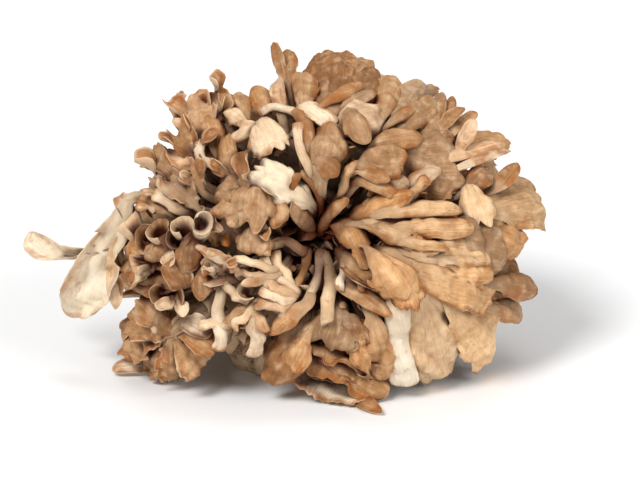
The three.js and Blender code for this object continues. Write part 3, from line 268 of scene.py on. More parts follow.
    ("horn", -46, 61, -6, -47, 66, 9, 23, 1, 0, 5, 0, 0.8, "cream"),
    ("horn", -40, 64, -5, -37, 70, 9, 23, 1, 2, 5, 0, 0.6, "cream"),
    ("tongue", -45, 62, 2, -32, 66, 6, 6, 1, 4, 1, 0, 0.8, "cream"),
    ("fan", -62, 60, 1, -68, 48, 6, 18, 4, 0, -1.2, 0, 0.8, "brown"),
    ("fan", -48, 61, 3, -51, 44, 9, 14, 4, 0, -0.8, 0, 0.6, "brown"),
    ("fan", -52, 37, 2, -60, 52, 9, 14, 3, 0, 0.9, 0, 0.6, "brown"),
    ("fan", -42, 46, 2, -44, 30, 7, 12, 3, 0, -1.2, 0, 0.8, "brown"),
    ("horn", -60, 31, -9, -62, 27, 7, 36, 1, 0, 5, 0, 0.8, "tan"),
    ("fan", -55, 31, 3, -52, 23, 7, 7, 1, 0, 0.8, 0, 1, "cream"),
    ("fan", -60, 40, -4, -87, 54, -4, 15, 4, 0, -0.9, 0, 2.2, "tan"),
    ("fan", -60, 34, -3, -84, 43, -3, 14, 4, 0, -0.8, 0, 2.2, "brown"),
    ("fan", -64, 49, -2, -81, 56, -1, 11, 3, 0, 0.8, 0, 2, "orange"),
    ("tongue", -70, 48, 0, -80, 39, 1, 9, 2, 0, 0.8, 0, 1.6, "cream"),
    # lower left: one disc of fans that touch, round one middle
    ("wedge", -61, 17, 0, -84, 22, 1, 23, 2, 0, -0.2, 0, 1, "tan"),
    ("wedge", -61, 15, 1, -84, 9, 2, 24, 2, 0, -0.2, 0, 1, "tan"),
    ("wedge", -60, 14, 1, -76, -3, 3, 24, 2, 0, -0.2, 0, 1, "tan"),
    ("wedge", -58, 13, 2, -64, -9, 4, 24, 3, 0, -0.2, 0, 1, "tan"),
    ("wedge", -56, 13, 2, -51, -8, 5, 24, 3, 0, -0.2, 0, 1, "tan"),
    ("wedge", -54, 13, 2, -40, -3, 5, 21, 3, 0, -0.2, 0, 1, "tan"),
    ("fan", -63, 22, 1, -58, 10, 8, 18, 4, 0, -0.8, 0, 1.4, "brown"),
    ("fan", -53, 20, 0, -38, 14, 2, 10, 2, 0, 0.5, 0, 0.8, "cream"),
    ("tongue", -68, -1, 0, -91, -5, 0, 9, 2, 0, 0.4, 0, 0.6, "cream"),
    # stray fronds at the far left
    ("paddle", -89, 64, -6, -131, 63, -5, 13, 2, 13, 0.7, 0, 1.6, "white"),
    ("fan", -85, 71, -2, -110, 21, -2, 22, 4, 2, 0.5, 0, 2.4, "white"),
    ("tongue", -80, 45, -4, -90, 28, -3, 6, 1, 0, 0.5, 0, 0.5, "tan"),
    # bottom centre
    ("fan", 21, 24, -4, 15, 6, 6, 32, 4, 0, -0.5, 0, 2.6, "taupe"),
    ("fan", 29, 21, -2, 38, 6, 6, 19, 3, 0, -0.5, 0, 2, "brown"),
    ("fan", 22, 12, -22, 16, 4, 5, 46, 3, 0, -0.4, 0, 1.1, "tan"),
    ("fan", 22, 7, -20, 14, -2, 6, 44, 3, 0, -0.4, 0, 1.1, "brown"),
    ("fan", 24, 2, -18, 22, -7, 7, 40, 3, 0, -0.4, 0, 1, "tan"),
    ("fan", 4, 14, -2, -11, -12, 5, 22, 4, 0, -0.6, 0, 1.8, "brown"),
    ("fan", 19, -6, -20, 11, -18, 7, 38, 3, 0, 0.5, 0, 0.8, "cream"),
    ("fan", 24, -1, 0, 52, -15, 5, 19, 4, 0, -0.5, 0, 1.2, "orange"),
    ("leaf", 31, -15, 2, 46, -25, 5, 8, 1, 0, 0.3, 0, 0.4, "tan"),
    # bottom right
    ("fan", 66, 27, 0, 79, -12, 4, 32, 6, 0, -0.4, 0, 0.8, "smooth"),
    ("fan", 80, 30, -2, 104, -1, 0, 36, 6, 0, -0.4, 0, 0.8, "smooth"),
    ("fan", 42, 18, -2, 47, -13, 2, 22, 5, 0, -0.4, 0, 0.8, "orange"),
]

# Small fronds beside those of the face, in the same layout.
SIDE_FRONDS = [
    ("leaf", -3, 143, -6, -9, 163, -7, 5, 2, 1, 0.8, 0, 1.2, "tan"),
    ("tongue", 2, 82, -3, 6, 93, 5, 6, 4, 3, -1.2, 0, 0.6, "brown"),
    ("leaf", -86, 53, -4, -87, 27, -3, 8, 2, 0, 0.6, 0, 1.6, "smooth"),
    ("wedge", -61, 18, 0, -77, 31, 0, 17, 2, 0, -0.2, 0, 1, "tan"),
    ("wedge", -53, 15, 2, -36, 7, 5, 15, 3, 0, -0.2, 0, 1, "tan"),
    ("leaf", 60, 60, 7, 78, 56, 9, 6, 2, 0, -0.8, 0, 1.6, "fibre"),
    ("leaf", 84, 44, 8, 97, 37, 8, 5, 1, 1, -0.8, 0, 1.4, "orange"),
    ("leaf", 70, 53, 7, 97, 50, 8, 6, 1, 0, -0.8, 0, 1.6, "pale"),
    ("wedge", 55, 44, 10, 59, 26, 12, 19, 1, 0, -1.0, 0, 1.6, "orange"),
    ("tongue", 33, 50, 1, 53, 37, 8, 9, 3, -2, -1, 0, 0.8, "fibre"),
    ("wedge", 8, 14, 3, -2, -4, 7, 14, 2, 0, -0.4, 0, 1.6, "orange"),
    ("wedge", 30, 12, 4, 40, -3, 8, 15, 2, 0, -0.4, 0, 1.8, "orange"),
]

# ---- small helpers ---------------------------------------------------------------------------
def mix(a, b, k):
    """From a to b as k goes from 0 to 1."""
    return a + (b - a) * k


def ease(low, high, x):
    """A smooth step from 0 to 1 as x goes from low to high."""
    k = np.clip((x - low) / (high - low), 0, 1)
    return k * k * (3 - 2 * k)


def unit(v):
    return v / np.linalg.norm(v, axis=-1, keepdims=True)


def chance(n):
    """An even draw from 0 to 1 that is always the same for the same number.

    Each draw for a frond changes its seed by a number of its own, so that no two draws agree.
    """
    x = np.sin(np.asarray(n, float) * 127.1 + 11.7) * 43758.5453
    return x - np.floor(x)


def wander(x, seed):
    """A value that wanders smoothly between -1 and 1 along x."""
    whole = np.floor(x)
    k = ease(0, 1, x - whole)
    return 2 * mix(chance(whole + seed * 57.3), chance(whole + 1 + seed * 57.3), k) - 1


def linear(colour):
    """A colour as given, made linear for a mesh attribute."""
    c = np.asarray(colour, float)
    return np.where(c <= 0.04045, c / 12.92, ((c + 0.055) / 1.055) ** 2.4)


def paint(colour):
    """A colour as given, made linear for a socket."""
    return (*linear(colour), 1.0)


def placed(name, data):
    """A new object in the scene, at the origin."""
    item = bpy.data.objects.new(name, data)
    bpy.context.scene.collection.objects.link(item)
    return item


def smooth_shaded(mesh):
    mesh.polygons.foreach_set("use_smooth", [True] * len(mesh.polygons))


# ---- the head's room -------------------------------------------------------------------------
PIT_RIGHT = 14 * MM  # the hollow in the middle of the face
PIT_UP = 63 * MM
PIT_WIDTH = 20.5 * MM
PIT_DEPTH = 30 * MM


def face_point(right, up, off):
    """A place on the rosette's face: across, up it, and in front of it."""
    across = (right - HEART @ RIGHT) / REACH_SIDE
    along = (up - HEART @ UP) / REACH_HEIGHT
    dome = math.sqrt(max(0.0, 1 - across * across - along * along))
    pit = math.exp(-((right - PIT_RIGHT) ** 2 + (up - PIT_UP) ** 2) / PIT_WIDTH ** 2)
    out = HEART @ OUT + REACH_FRONT * dome - PIT_DEPTH * pit + off
    out = max(out, (1 * MM - up * UP[2]) / OUT[2])
    return RIGHT * right + UP * up + OUT * out


def branch_ways():
    """The way that each branch grows."""
    ways = []
    for _, angle, out in BRANCHES:
        turn = math.radians(angle)
        ways.append(RIGHT * math.cos(turn) + UP * math.sin(turn) + OUT * out)
    return unit(np.array(ways))


WAYS = branch_ways()


def nearest_branch(point):
    """The branch that a point of the head belongs to."""
    return int(np.argmax(WAYS @ (point - HEART)))


def held(distance, least, soft):
    """Keeps a distance above a least value, with a soft bend."""
    return least + soft * np.logaddexp(0, (distance - least) / soft)


def keep_in_room(points, k, half, give):
    """Bends points of branch k back where they go further than `give` into a neighbour's room."""
    v = points - HEART
    # twice, as a bend away from one neighbour can lead into another
    for _ in range(2):
        for j in range(len(BRANCHES)):
            if j != k:
                across = unit(WAYS[k] - WAYS[j])
                distance = v @ across
                v = v + across * (held(distance, half - give, WALL_BEND) - distance)[..., None]
    v = v + HEART
    v[..., 2] = held(v[..., 2], half, FLOOR_BEND)
    return v


def reach_along(way):
    """How far the head reaches from the heart, each way."""
    depth = way @ OUT
    thick = np.where(depth > 0, REACH_FRONT, REACH_BACK)
    squares = (way @ RIGHT / REACH_SIDE) ** 2 + (way @ UP / REACH_HEIGHT) ** 2
    reach = 1 / np.sqrt(squares + (depth / thick) ** 2)
    shoulder = ease(0.15, 0.8, -(way @ RIGHT)) * ease(0.0, 0.5, way @ UP)
    reach = reach * (1 - LEFT_SHOULDER * shoulder)
    low = (HEART[2] - 5 * MM) / np.maximum(-way[..., 2], 1e-6)
    return np.where(way[..., 2] < 0, np.minimum(reach, low), reach)


def core_reach(way):
    """How far the dense middle reaches from the heart; it dips under the pit."""
    facing = way @ OUT
    pit = np.exp(-((1 - facing) ** 2) / CORE_PIT_SPREAD)
    share = mix(CORE_SHARE, CORE_FRONT, ease(0.1, 0.8, facing))
    return reach_along(way) * share * (1 - CORE_PIT * pit)


# ---- fronds ----------------------------------------------------------------------------------
SINK_SHARE = 0.2  # a blade starts this share of its length behind its row's root
SINK = 2 * MM  # and this far under it
WIDER = 1.22  # blades are this much wider than their row says, so that neighbours overlap


def face_fronds(table):
    """The fronds of the face, from a table."""
    fronds = []
    for kind, r0, u0, o0, r1, u1, o1, wide, bend, sweep, cup, turn, wave, tone in table:
        root = face_point(r0 * MM, u0 * MM, o0 * MM)
        tip = face_point(r1 * MM, u1 * MM, o1 * MM)
        slim = kind in ("stem", "horn")
        if not slim:
            root = root - SINK_SHARE * (tip - root) - SINK * AXIS
        fronds.append(dict(
            kind=kind, root=root, tip=tip, facing=AXIS, width=wide * MM * (1 if slim else WIDER),
            bend=bend * MM, sweep=sweep * MM, cup=cup, turn=turn, wave=wave * MM, tone=tone,
        ))
    return fronds


SHELVES = 84  # places spread evenly all round, of which those on the face and below stay empty
SHELF_FACE = 0.42  # how far out of the face, and how far up, a shelf may still grow
SHELF_UNDER = -0.6
GOLDEN_ANGLE = 2.39996323


def spread_direction(i, count):
    """The i-th of a number of ways that are spread evenly all round."""
    height = 1 - (2 * (i + 0.5)) / count
    ring = math.sqrt(1 - height * height)
    angle = i * GOLDEN_ANGLE
    return np.array([ring * math.cos(angle), ring * math.sin(angle), height])


def shelf_fronds():
    """Drooping shelves over the sides, the top and the far side."""
    fronds = []
    for i in range(SHELVES):
        way = spread_direction(i, SHELVES)
        depth = way @ OUT
        if depth > SHELF_FACE or way[2] < SHELF_UNDER:
            continue
        reach = reach_along(way)
        down = unit(way * way[2] - Z_UP)
        side = ease(-0.2, 0.3, depth)
        chord = unit(0.8 * way + mix(0.6, 0.3, side) * down)
        length = mix(38, 50, chance(i + 0.1)) * mix(1, 0.8, side) * MM
        out = mix(0.79, 0.86, chance(i + 0.15)) * mix(1, 0.96, side)
        middle = HEART + way * reach * out
        tip = middle + chord * length * 0.4
        tip[2] = max(3 * MM, tip[2])
        fronds.append(dict(
            kind="fan", root=middle - chord * length * 0.6, tip=tip,
            facing=0.6 * way + 0.8 * Z_UP + side * OUT,
            width=mix(42, 54, chance(i + 0.3)) * mix(1, 0.84, side) * MM,
            bend=mix(3, 7, chance(i + 0.8)) * MM, sweep=mix(-4, 4, chance(i + 0.4)) * MM,
            cup=mix(-0.9, -0.3, chance(i + 0.5)), turn=mix(-18, 18, chance(i + 0.6)),
            wave=mix(1, 2, chance(i + 0.9)) * MM,
            tone=("tan", "taupe", "brown", "fibre")[int(chance(i + 0.7) * 4)],
        ))
    return fronds


def wildness(point):
    """0 where fronds are broad and smooth, 1 at the left, where they are small and crinkled."""
    # where it is over the face, in millimetres
    right = point @ RIGHT / MM
    up = point @ UP / MM
    crinkled = ease(5, -35, right + 0.2 * abs(up - 65))
    return float(crinkled * ease(-80, -66, right) * mix(0.2, 1, ease(18, 32, up - 0.3 * (right + 30))))


STALK_FROM = 0.9  # share of the dense middle's reach where a stalk starts
STALK_DEPTH = 4 * MM  # and how far under that
STALK_LEAST = 6 * MM
STALK_CLEAR = 3 * MM
STALK_PULL = 0.6  # how strongly its ends hold their direction


class GrowthLine:
    """The line that a frond grows along: stalk (t from -1 to 0), then blade (t from 0 to 1)."""

    def __init__(self, frond):
        self.root = frond["root"]
        self.chord = frond["tip"] - frond["root"]
        self.length = float(np.linalg.norm(self.chord))
        way = self.chord / self.length
        facing = frond["facing"]
        upper = unit(facing - way * (facing @ way))
        turn = Matrix.Rotation(math.radians(frond["turn"]), 3, Vector(way))
        self.upper = np.array(turn @ Vector(upper))
        self.left = np.cross(self.upper, way)
        self.bend = frond["bend"]
        self.sweep = frond["sweep"]
        far = self.root - HEART
        outward = unit(far)
        deep = min(core_reach(outward) * STALK_FROM - STALK_DEPTH, np.linalg.norm(far) - STALK_LEAST)
        self.start = HEART + outward * max(deep, CORE_INNER + STALK_CLEAR)
        if "start" in frond:
            self.start = frond["start"]
            outward = unit(self.root - self.start)
        self.gap = float(np.linalg.norm(self.root - self.start))
        self.leave = outward * self.gap * STALK_PULL
        into = unit(self.blade(np.array([0.02])) - self.blade(np.array([0.0])))[0]
        self.enter = into * self.gap * STALK_PULL

    def blade(self, t):
        """An arch from root to tip."""
        t = t[:, None]
        arch = 4 * t * (1 - t)
        return self.root + self.chord * t + (self.upper * self.bend + self.left * self.sweep) * arch

    def stalk(self, t):
        """A curve from the dense middle that runs smoothly into the blade."""
        k = (t + 1)[:, None]
        point = self.start * (2 * k ** 3 - 3 * k ** 2 + 1) + self.leave * (k ** 3 - 2 * k ** 2 + k)
        return point + self.root * (3 * k ** 2 - 2 * k ** 3) + self.enter * (k ** 3 - k ** 2)

    def at(self, t):
        return np.where((t < 0)[:, None], self.stalk(np.minimum(t, 0)), self.blade(np.maximum(t, 0)))

    def frames(self, t):
        """Direction, upper side and left side at each t; the upper side is carried along."""
        way = unit(self.at(t + 0.03) - self.at(t - 0.03))
        upper = np.empty_like(way)
        zero = int(np.argmax(t >= 0))
        for i in range(zero, len(t)):
            upper[i] = unit(self.upper - way[i] * (self.upper @ way[i]))
        for i in range(zero - 1, -1, -1):
            upper[i] = unit(upper[i + 1] - way[i] * (upper[i + 1] @ way[i]))
        return way, upper, np.cross(upper, way)


def half_width(frond, t):
    """Half the width of a frond at t, before its margin is cut."""
    root, widest, tip, _, grow = KINDS[frond["kind"]]
    full = frond["width"] / 2
    stalk = np.clip(0.075 * frond["width"] + 1.1 * MM, 1.3 * MM, 3.4 * MM)
    rise = np.sin(math.pi / 2 * np.clip(t / widest, 0, 1)) ** grow
    wide = mix(root, 1, rise)
    k = np.clip((t - widest) / max(1 - widest, 1e-6), 0, 1)
    wide = wide * np.sqrt(1 - k * k * (1 - tip * tip))
    low = mix(min(stalk, full), max(root * full, 1.1 * MM), ease(-0.7, 0, t))
    return np.where(t < 0, low, np.maximum(wide * full, 0.9 * MM))


def thickness(frond, t, u):
    """Thickness at t along and u across; blades thin out towards the margin."""
    if frond["kind"] == "stem":
        middle = frond["width"] * mix(0.86, 0.6, ease(0.5, 1, t))
    else:
        size = 1.5 if frond["kind"] == "horn" else np.clip(frond["width"] / (20 * MM), 0.62, 1.1)
        stalk = mix(4.6, 3.4, t + 1)
        blade = mix(3.4, 1.15, np.maximum(t, 0) ** 0.6)
        middle = np.where(t < 0, stalk, blade) * size * MM
    return np.maximum(0.8 * MM, middle * (1 - 0.5 * u * u))


DISC_FROM = 0.35  # where the far half of a broad blade starts to be rounded off
DISC_DROP = 0.46  # and how strongly
CYCLE = 6.28  # one full wave
NICKS = ((5, 0.05, 0.3), (2.2, 0.04, 0.8))  # millimetres apart, depth, shift of the seed
DENTS = ((17, 0.9), (11, 0.6), (6.5, 0.35), (3.6, 0.14))  # millimetres apart, height


class Sheet:
    """A frond's middle sheet on rows t and columns u, with its lobed and ruffled margin."""

    def __init__(self, frond, line, t, u, seed, shape):
        self.frond = frond
        self.line = line
        self.t = t
        self.seed = seed
        self.shape = shape
        self.kind = frond["kind"]
        self.width = frond["width"]
        self.broad = self.kind in BROAD_KINDS
        self.t2, self.u2 = np.meshgrid(t, u, indexing="ij")
        self.on = np.maximum(self.t2, 0)
        self.open = np.where(self.t2 < 0, 0.15, ease(0, 0.35, self.t2))
        edge = (np.abs(self.u2) ** 6 + self.on ** 6) ** (1 / 6) * ease(0, 0.3, self.t2)
        self.edge = np.minimum(edge, 1)
        self.half, self.back = self.outline()
        self.around = np.arctan2(self.u2 * self.half, (self.on - 0.25) * line.length)
        wild = wildness(frond["tip"]) * {"stem": 0, "horn": 0.25}.get(self.kind, 1)
        self.wild = wild * ease(0.5 * MM, 1.6 * MM, frond["wave"])

    def size(self, full, least, most):
        """The frond's width as a share of a full one in millimetres, within limits."""
        return np.clip(self.width / (full * MM), least, most)

    def outline(self):
        """Half the width, and how far the far edge is drawn back towards its sides."""
        _, widest, _, drawn_back, _ = KINDS[self.kind]
        length = self.line.length
        half = half_width(self.frond, self.t2)
        back = drawn_back * length * self.u2 * self.u2 * self.on * self.on
        if self.broad:
            # the far half is rounded off like a disc
            far = np.clip((self.on - DISC_FROM) / (1 - DISC_FROM), 0, 1)
            half = np.where(self.t2 > widest, self.width / 2, half) * np.sqrt(1 - DISC_DROP * far * far)
            drop = 1 - np.sqrt(1 - DISC_DROP * self.u2 * self.u2)
            back = (1 - DISC_FROM) * length * far * drop
        if self.kind == "horn":
            half = half * (1 + 0.22 * ease(0.66, 1, self.t2))
        if self.kind == "stem":
            flare = mix(0.0, 0.9, chance(self.seed * 7)) * ease(0.7, 1, self.t2)
            calm = min(1, (6 * MM / self.width) ** 1.5)
            knots = 0.16 * wander(self.t2 * 4, self.seed) + 0.1 * wander(self.t2 * 11, self.seed + 0.5)
            half = half * (1 + calm * knots + flare)
        return half * (1 + mix(-0.2, 0.2, chance(self.seed * 67)) * self.u2), back

    def arc(self):
        """The width bent into an arc: the way across, and the rise over the growth line."""
        cup = self.frond["cup"] * (self.shape.roundness if self.broad else 1) * mix(0.25, 1, self.open)
        safe = np.where(np.abs(cup) < 0.02, 0.02, cup)
        phi = self.u2 * safe / 2
        across = 2 * self.half / safe * np.sin(phi)
        return across, 2 * self.half / safe * (1 - np.cos(phi))

    def cut(self):
        """Rounded lobes with narrow notches, and small nicks along the margin."""
        seed, wild = self.seed, self.wild
        lobes = mix(1.0, 3.2, chance(seed * 29)) * self.size(22, 0.8, 2.2)
        lobes = lobes * (1 + 0.7 * wild)
        notch = 1 - np.abs(np.sin(lobes * self.around + seed * 44)) ** 0.55
        forked = self.broad and self.kind != "wedge" and self.width > 13 * MM
        forked = forked and chance(seed * 41) > 0.55 and self.frond["wave"] > 1.25 * MM
        depth = self.shape.lobe * mix(0.3, 1.0, chance(seed * 37))
        depth = depth * (1.8 if forked else 1 if self.broad else 0.35) * (1 + 0.8 * wild)
        nick = 0
        for apart, deep, shift in NICKS:
            nick = nick + deep * wander(self.around * self.width / (apart * MM), seed + shift)
        nick = nick * (1 + 1.5 * wild) * (2 if self.kind == "wedge" else 1)
        nick = nick * (1 if self.broad else 0.5 if self.kind == "horn" else 0)
        return (depth * notch + nick) * self.edge ** 3

    def ruffle(self):
        """Waves that grow towards the margin."""
        around, seed = self.around, self.seed
        margin = np.maximum(self.u2 * self.u2, ease(0.55, 1, self.on))
        wave = np.sin(4 * around + seed * CYCLE) + 0.5 * margin * np.sin(9 * around + seed * 31)
        wave = wave + 0.35 * margin ** 2 * wander(around * 8, seed + 0.4)
        wave = wave + 0.9 * self.wild * margin ** 2 * wander(around * 5 + self.on * 2, seed + 0.6)
        wave = wave * (0.3 if self.kind == "horn" else 1)
        return self.shape.ruffle * self.frond["wave"] * margin * self.open * wave

    def curl(self):
        """The margin of a cap turned over, away from its cup."""
        over = self.size(16, 0.5, 1.6) * mix(0.4, 1.4, chance(self.seed * 53))
        over = over * (1 + 0.8 * self.wild * wander(self.around * 2.2, self.seed + 0.9))
        over = over * (0.4 if self.kind == "wedge" else 1)
        turned = -np.sign(0.3 - self.frond["cup"])
        return turned * self.shape.curl * over * self.edge ** 4.5

    def pleats(self):
        """Folds that run along a cap."""
        folds = math.pi * mix(2.0, 5.0, chance(self.seed * 61))
        height = self.shape.pleat * self.size(24, 0.3, 1.3)
        return height * self.open * (1 - 0.6 * self.edge) * np.sin(self.u2 * folds + self.seed * 17)

    def dents(self, across):
        """Gentle dents all over, from trains of waves that each run their own way."""
        dent = 0
        for i, (apart, height) in enumerate(DENTS):
            lean = CYCLE * chance(self.seed * 71 + i)
            walk = across * math.cos(lean) + self.on * self.line.length * math.sin(lean)
            walk = walk / (apart * MM)
            dent = dent + height * np.sin(CYCLE * (walk + chance(self.seed * 73 + i)))
        size = self.size(20, 0.25, 1.3) * ease(-0.4, 0.4, self.t2)
        return self.shape.dent * dent * size * (0.35 if self.kind == "horn" else 1)

    def crook(self, left, upper):
        """How a stem strays from its growth line."""
        t, seed = self.t, self.seed
        stray = left * wander(t * 4, seed + 0.2)[:, None] + upper * wander(t * 3, seed + 0.7)[:, None]
        return 0.22 * self.width * ease(0, 0.3, t)[:, None] * stray

    def points(self):
        """The sheet's points, row by row."""
        way, upper, left = self.line.frames(self.t)
        across, rise = self.arc()
        cut = self.cut()
        across = across * (1 - cut)
        back = self.back + (self.on - 0.2) * self.line.length * cut
        rise = rise + self.ruffle()
        if self.broad:
            rise = rise + self.curl()
            rise = rise + self.pleats()
        rise = rise + self.dents(across)
        middle = self.line.at(self.t)
        if self.kind == "stem":
            middle = middle + self.crook(left, upper)
        points = middle[:, None] + left[:, None] * across[..., None]
        return points + upper[:, None] * rise[..., None] - way[:, None] * back[..., None]


STALK_ROWS = (3, 12)  # least and most rows of points
BLADE_ROWS = (8, 38)
COLUMNS = (5, 30)
GRAIN_SHIFT = 90  # sets the grain of one frond off from the next one's
FAR_FROM_RIM = 20.0  # millimetres
HORN_RIM = 0.35  # a cup's rim is this much nearer than a cap's
HORN_BURN = 0.15
SPROUT_GRID = dict(rows=(2, 9), columns=8)
SPROUT_KINDS = (  # kind, length, width, cup
    ("fan", 1.0, 1.1, -1.4), ("fan", 0.9, 1.2, 1.8), ("spoon", 1.1, 0.9, 1.4), ("horn", 0.9, 2.1, 4.9),
    ("tongue", 1.2, 0.6, -1.6), ("fan", 1.1, 0.9, 1.0),
)


def sprouts(frond, seed, shape):
    """Small lobes and cups that branch from a frond, most of all at the head's left."""
    line = GrowthLine(frond)
    wild = wildness(mix(frond["root"], frond["tip"], 0.6)) * ease(0.3 * MM, 1.4 * MM, frond["wave"])
    stem = frond["kind"] == "stem"
    if stem:
        wild = wildness(frond["tip"])
    plain = frond["kind"] in ("horn", "wedge")
    room = 0.8 if stem else 0.0 if plain else np.clip(frond["width"] / (14 * MM), 0.6, 2.0)
    count = int(shape.sprouts * wild * room * mix(0.6, 1.4, chance(seed * 83)) + 0.4)
    made = []
    for j in range(count):
        draw = [float(chance(seed * 89 + j * 1.7 + i * 0.61)) for i in range(12)]
        t = mix(0.8, 0.95, draw[0]) if stem else mix(0.1, 0.8, draw[0])
        way, upper, left = (x[-1] for x in line.frames(np.array([t - 0.02, t])))
        side = math.copysign(mix(0.6, 1.0, draw[1]), draw[2] - 0.5)
        half = float(half_width(frond, np.array([t]))[0])
        root = line.at(np.array([t]))[0] + left * side * half * 0.7
        aim = way * mix(0.4, 1.1, draw[3]) + left * side * mix(0.3, 1.0, draw[4])
        aim = unit(aim + upper * mix(0.0, 0.7, draw[5]) + 0.2 * OUT)
        kind, length, width, cup = SPROUT_KINDS[int(draw[6] * len(SPROUT_KINDS))]
        size = mix(6, 13, draw[7] ** 1.3) * MM * (0.85 if stem else 1)
        start = root - way * 4 * MM - upper * 1 * MM
        made.append(dict(
            kind=kind, start=start, root=root, tip=root + aim * size * length,
            facing=unit(upper + 0.5 * OUT + left * mix(-0.8, 0.8, draw[8])),
            width=size * width, bend=size * mix(0.0, 0.25, draw[9]), sweep=0.0,
            cup=cup * mix(0.7, 1.2, draw[10]), turn=mix(-35, 35, draw[11]), wave=size * 0.06,
            tone=frond["tone"] if draw[9] > 0.5 else ("cream", "tan", "brown", "pale")[int(draw[8] * 4)],
        ))
    return made


# ---- shells ----------------------------------------------------------------------------------
def wrapped(lines, around, columns):
    """Faces round a closed shell of point rings, and the faces that close its two ends."""
    index = np.arange(lines * around).reshape(lines, around)
    a, b = index[:-1], index[1:]
    quads = np.stack([a, np.roll(a, -1, axis=1), np.roll(b, -1, axis=1), b], axis=-1).reshape(-1, 4)
    caps = []
    for row, flip in ((index[0], False), (index[-1], True)):
        for j in range(columns):
            corners = [row[j], row[(around - j) % around], row[around - j - 1], row[j + 1]]
            corners = list(dict.fromkeys(corners))
            if len(corners) > 2:
                caps.append(corners[::-1] if flip else corners)
    return quads, caps


def rim_distance(sheet, pick):
    """How far each point is from the margin, in millimetres; far on the stalk."""
    rim = (1 - sheet.t2) * sheet.line.length
    if sheet.kind != "stem":
        rim = np.minimum((1 - np.abs(sheet.u2)) * sheet.half, rim)
    if sheet.kind == "horn":
        rim = rim * HORN_RIM
    return mix(FAR_FROM_RIM * MM, np.maximum(rim, 0), ease(0, 0.25, sheet.t2))[:, pick] / MM


def frond_shell(frond, k, seed, shape, give, rows=None, columns=None):
    """One frond as a closed shell: points, faces and what its flesh needs to know."""
    line = GrowthLine(frond)
    stem = frond["kind"] == "stem"
    stalk_rows, blade_rows = rows or (
        int(np.clip(line.gap / (3 * shape.mesh_step), *STALK_ROWS)),
        int(np.clip(line.length / shape.mesh_step, *BLADE_ROWS)),
    )
    tips = 1 - (1 - np.linspace(0, 1, blade_rows + 1)) ** 1.4
    t = np.concatenate([np.linspace(-1, 0, stalk_rows, endpoint=False), tips])
    columns = columns or int(np.clip(frond["width"] / shape.mesh_step, *COLUMNS))
    theta = np.linspace(0, math.pi, columns + 1)
    sheet = Sheet(frond, line, t, np.cos(theta), seed, shape)
    thick = thickness(frond, sheet.t2, sheet.u2)
    middle = keep_in_room(sheet.points(), k, thick / 2, give)
    normal = np.cross(np.gradient(middle, axis=0), np.gradient(middle, axis=1))
    normal = normal / np.maximum(np.linalg.norm(normal, axis=-1, keepdims=True), 1e-12)
    round_ = np.abs(np.sin(theta)) ** (1.0 if stem else 0.5)
    # stems end bluntly, blades in a thin rounded edge
    taper = 0.6 * ease(0.93, 1.0, t) ** 2 if stem else ease(0.8, 1.0, t) ** 2
    end = np.sqrt(np.clip(1 - taper, 0.09, 1))
    offset = thick / 2 * round_[None] * end[:, None]
    upper = middle - normal * offset[..., None]
    lower = middle + normal * offset[..., None]
    # which of the two is the upper side is settled by the growth line
    if np.sum((upper - lower)[-2].mean(axis=0) * line.frames(t)[1][-2]) < 0:
        upper, lower = lower, upper
    ring = np.concatenate([upper, lower[:, -2:0:-1]], axis=1)
    out = unit(upper - lower + 1e-9)
    out = np.concatenate([out, -out[:, -2:0:-1]], axis=1)
    # the columns of the upper side, then those of the lower side on the way back
    pick = np.concatenate([np.arange(columns + 1), np.arange(columns - 1, 0, -1)])
    sides = np.concatenate([np.sin(theta), -np.sin(theta)[-2:0:-1]])
    lines, around = ring.shape[:2]
    quads, caps = wrapped(lines, around, columns)
    grain = np.stack([
        sheet.u2[:, pick] * frond["width"] / 2 / MM,
        sheet.t2[:, pick] * line.length / MM,
        np.full((lines, around), seed * GRAIN_SHIFT),
    ], axis=-1)
    shell = dict(
        points=ring.reshape(-1, 3), quads=quads, caps=caps, rings=(lines, around),
        along=sheet.t2[:, pick].reshape(-1),
        side=np.broadcast_to(sides, (lines, around)).reshape(-1),
        rim=rim_distance(sheet, pick).reshape(-1),
        grain=grain.reshape(-1, 3), normals=out.reshape(-1, 3),
    )
    if stem and frond["tone"] in ("cream", "pale"):
        # pale stems end in a browned cut
        shell["shade"] = 1 - 0.4 * ease(0.9, 1.0, shell["along"])
    if frond["kind"] == "horn":
        # painted shade in the hollow of a cup, darker towards its foot; its lip is hardly browned
        shell["shade"] = 1 - 0.42 * ease(0.95, 0.5, shell["along"]) * (shell["side"] > 0)
        shell["burn"] = HORN_BURN
    return shell


LUMP_OFF = 42  # millimetres from the heart to the middle of a branch's lump
LUMP_RADIUS = 70
LUMP_SHARE = 0.97  # of the dense middle's reach
KNOB_SHARE = 0.05
KNOBS_ROUND = 9
LUMP_GAP = 0.2 * MM  # kept clear of the neighbours' room


def core_lump(k):
    """Branch k's share of the dense middle, as a closed lump with a knobbly skin."""
    lump = bmesh.new()
    bmesh.ops.create_icosphere(lump, subdivisions=4, radius=1)
    ways = np.array([v.co for v in lump.verts])
    faces = [[v.index for v in f.verts] for f in lump.faces]
    lump.free()
    v = WAYS[k] * LUMP_OFF * MM + unit(ways) * LUMP_RADIUS * MM
    way = unit(v)
    far = np.linalg.norm(v, axis=-1)
    knob = np.array([noise.fractal(Vector(w * KNOBS_ROUND), 1.0, 2.0, 3) for w in way])
    far = np.minimum(far, core_reach(way) * LUMP_SHARE * (1 + KNOB_SHARE * knob))
    points = keep_in_room(HEART + way * far[:, None], k, np.zeros(len(ways)), -LUMP_GAP)
    n = len(points)
    return dict(
        points=points, quads=np.zeros((0, 4), int), caps=faces, along=np.full(n, -0.5),
        side=np.ones(n), rim=np.full(n, FAR_FROM_RIM), grain=(points - HEART) / MM, normals=way,
    )


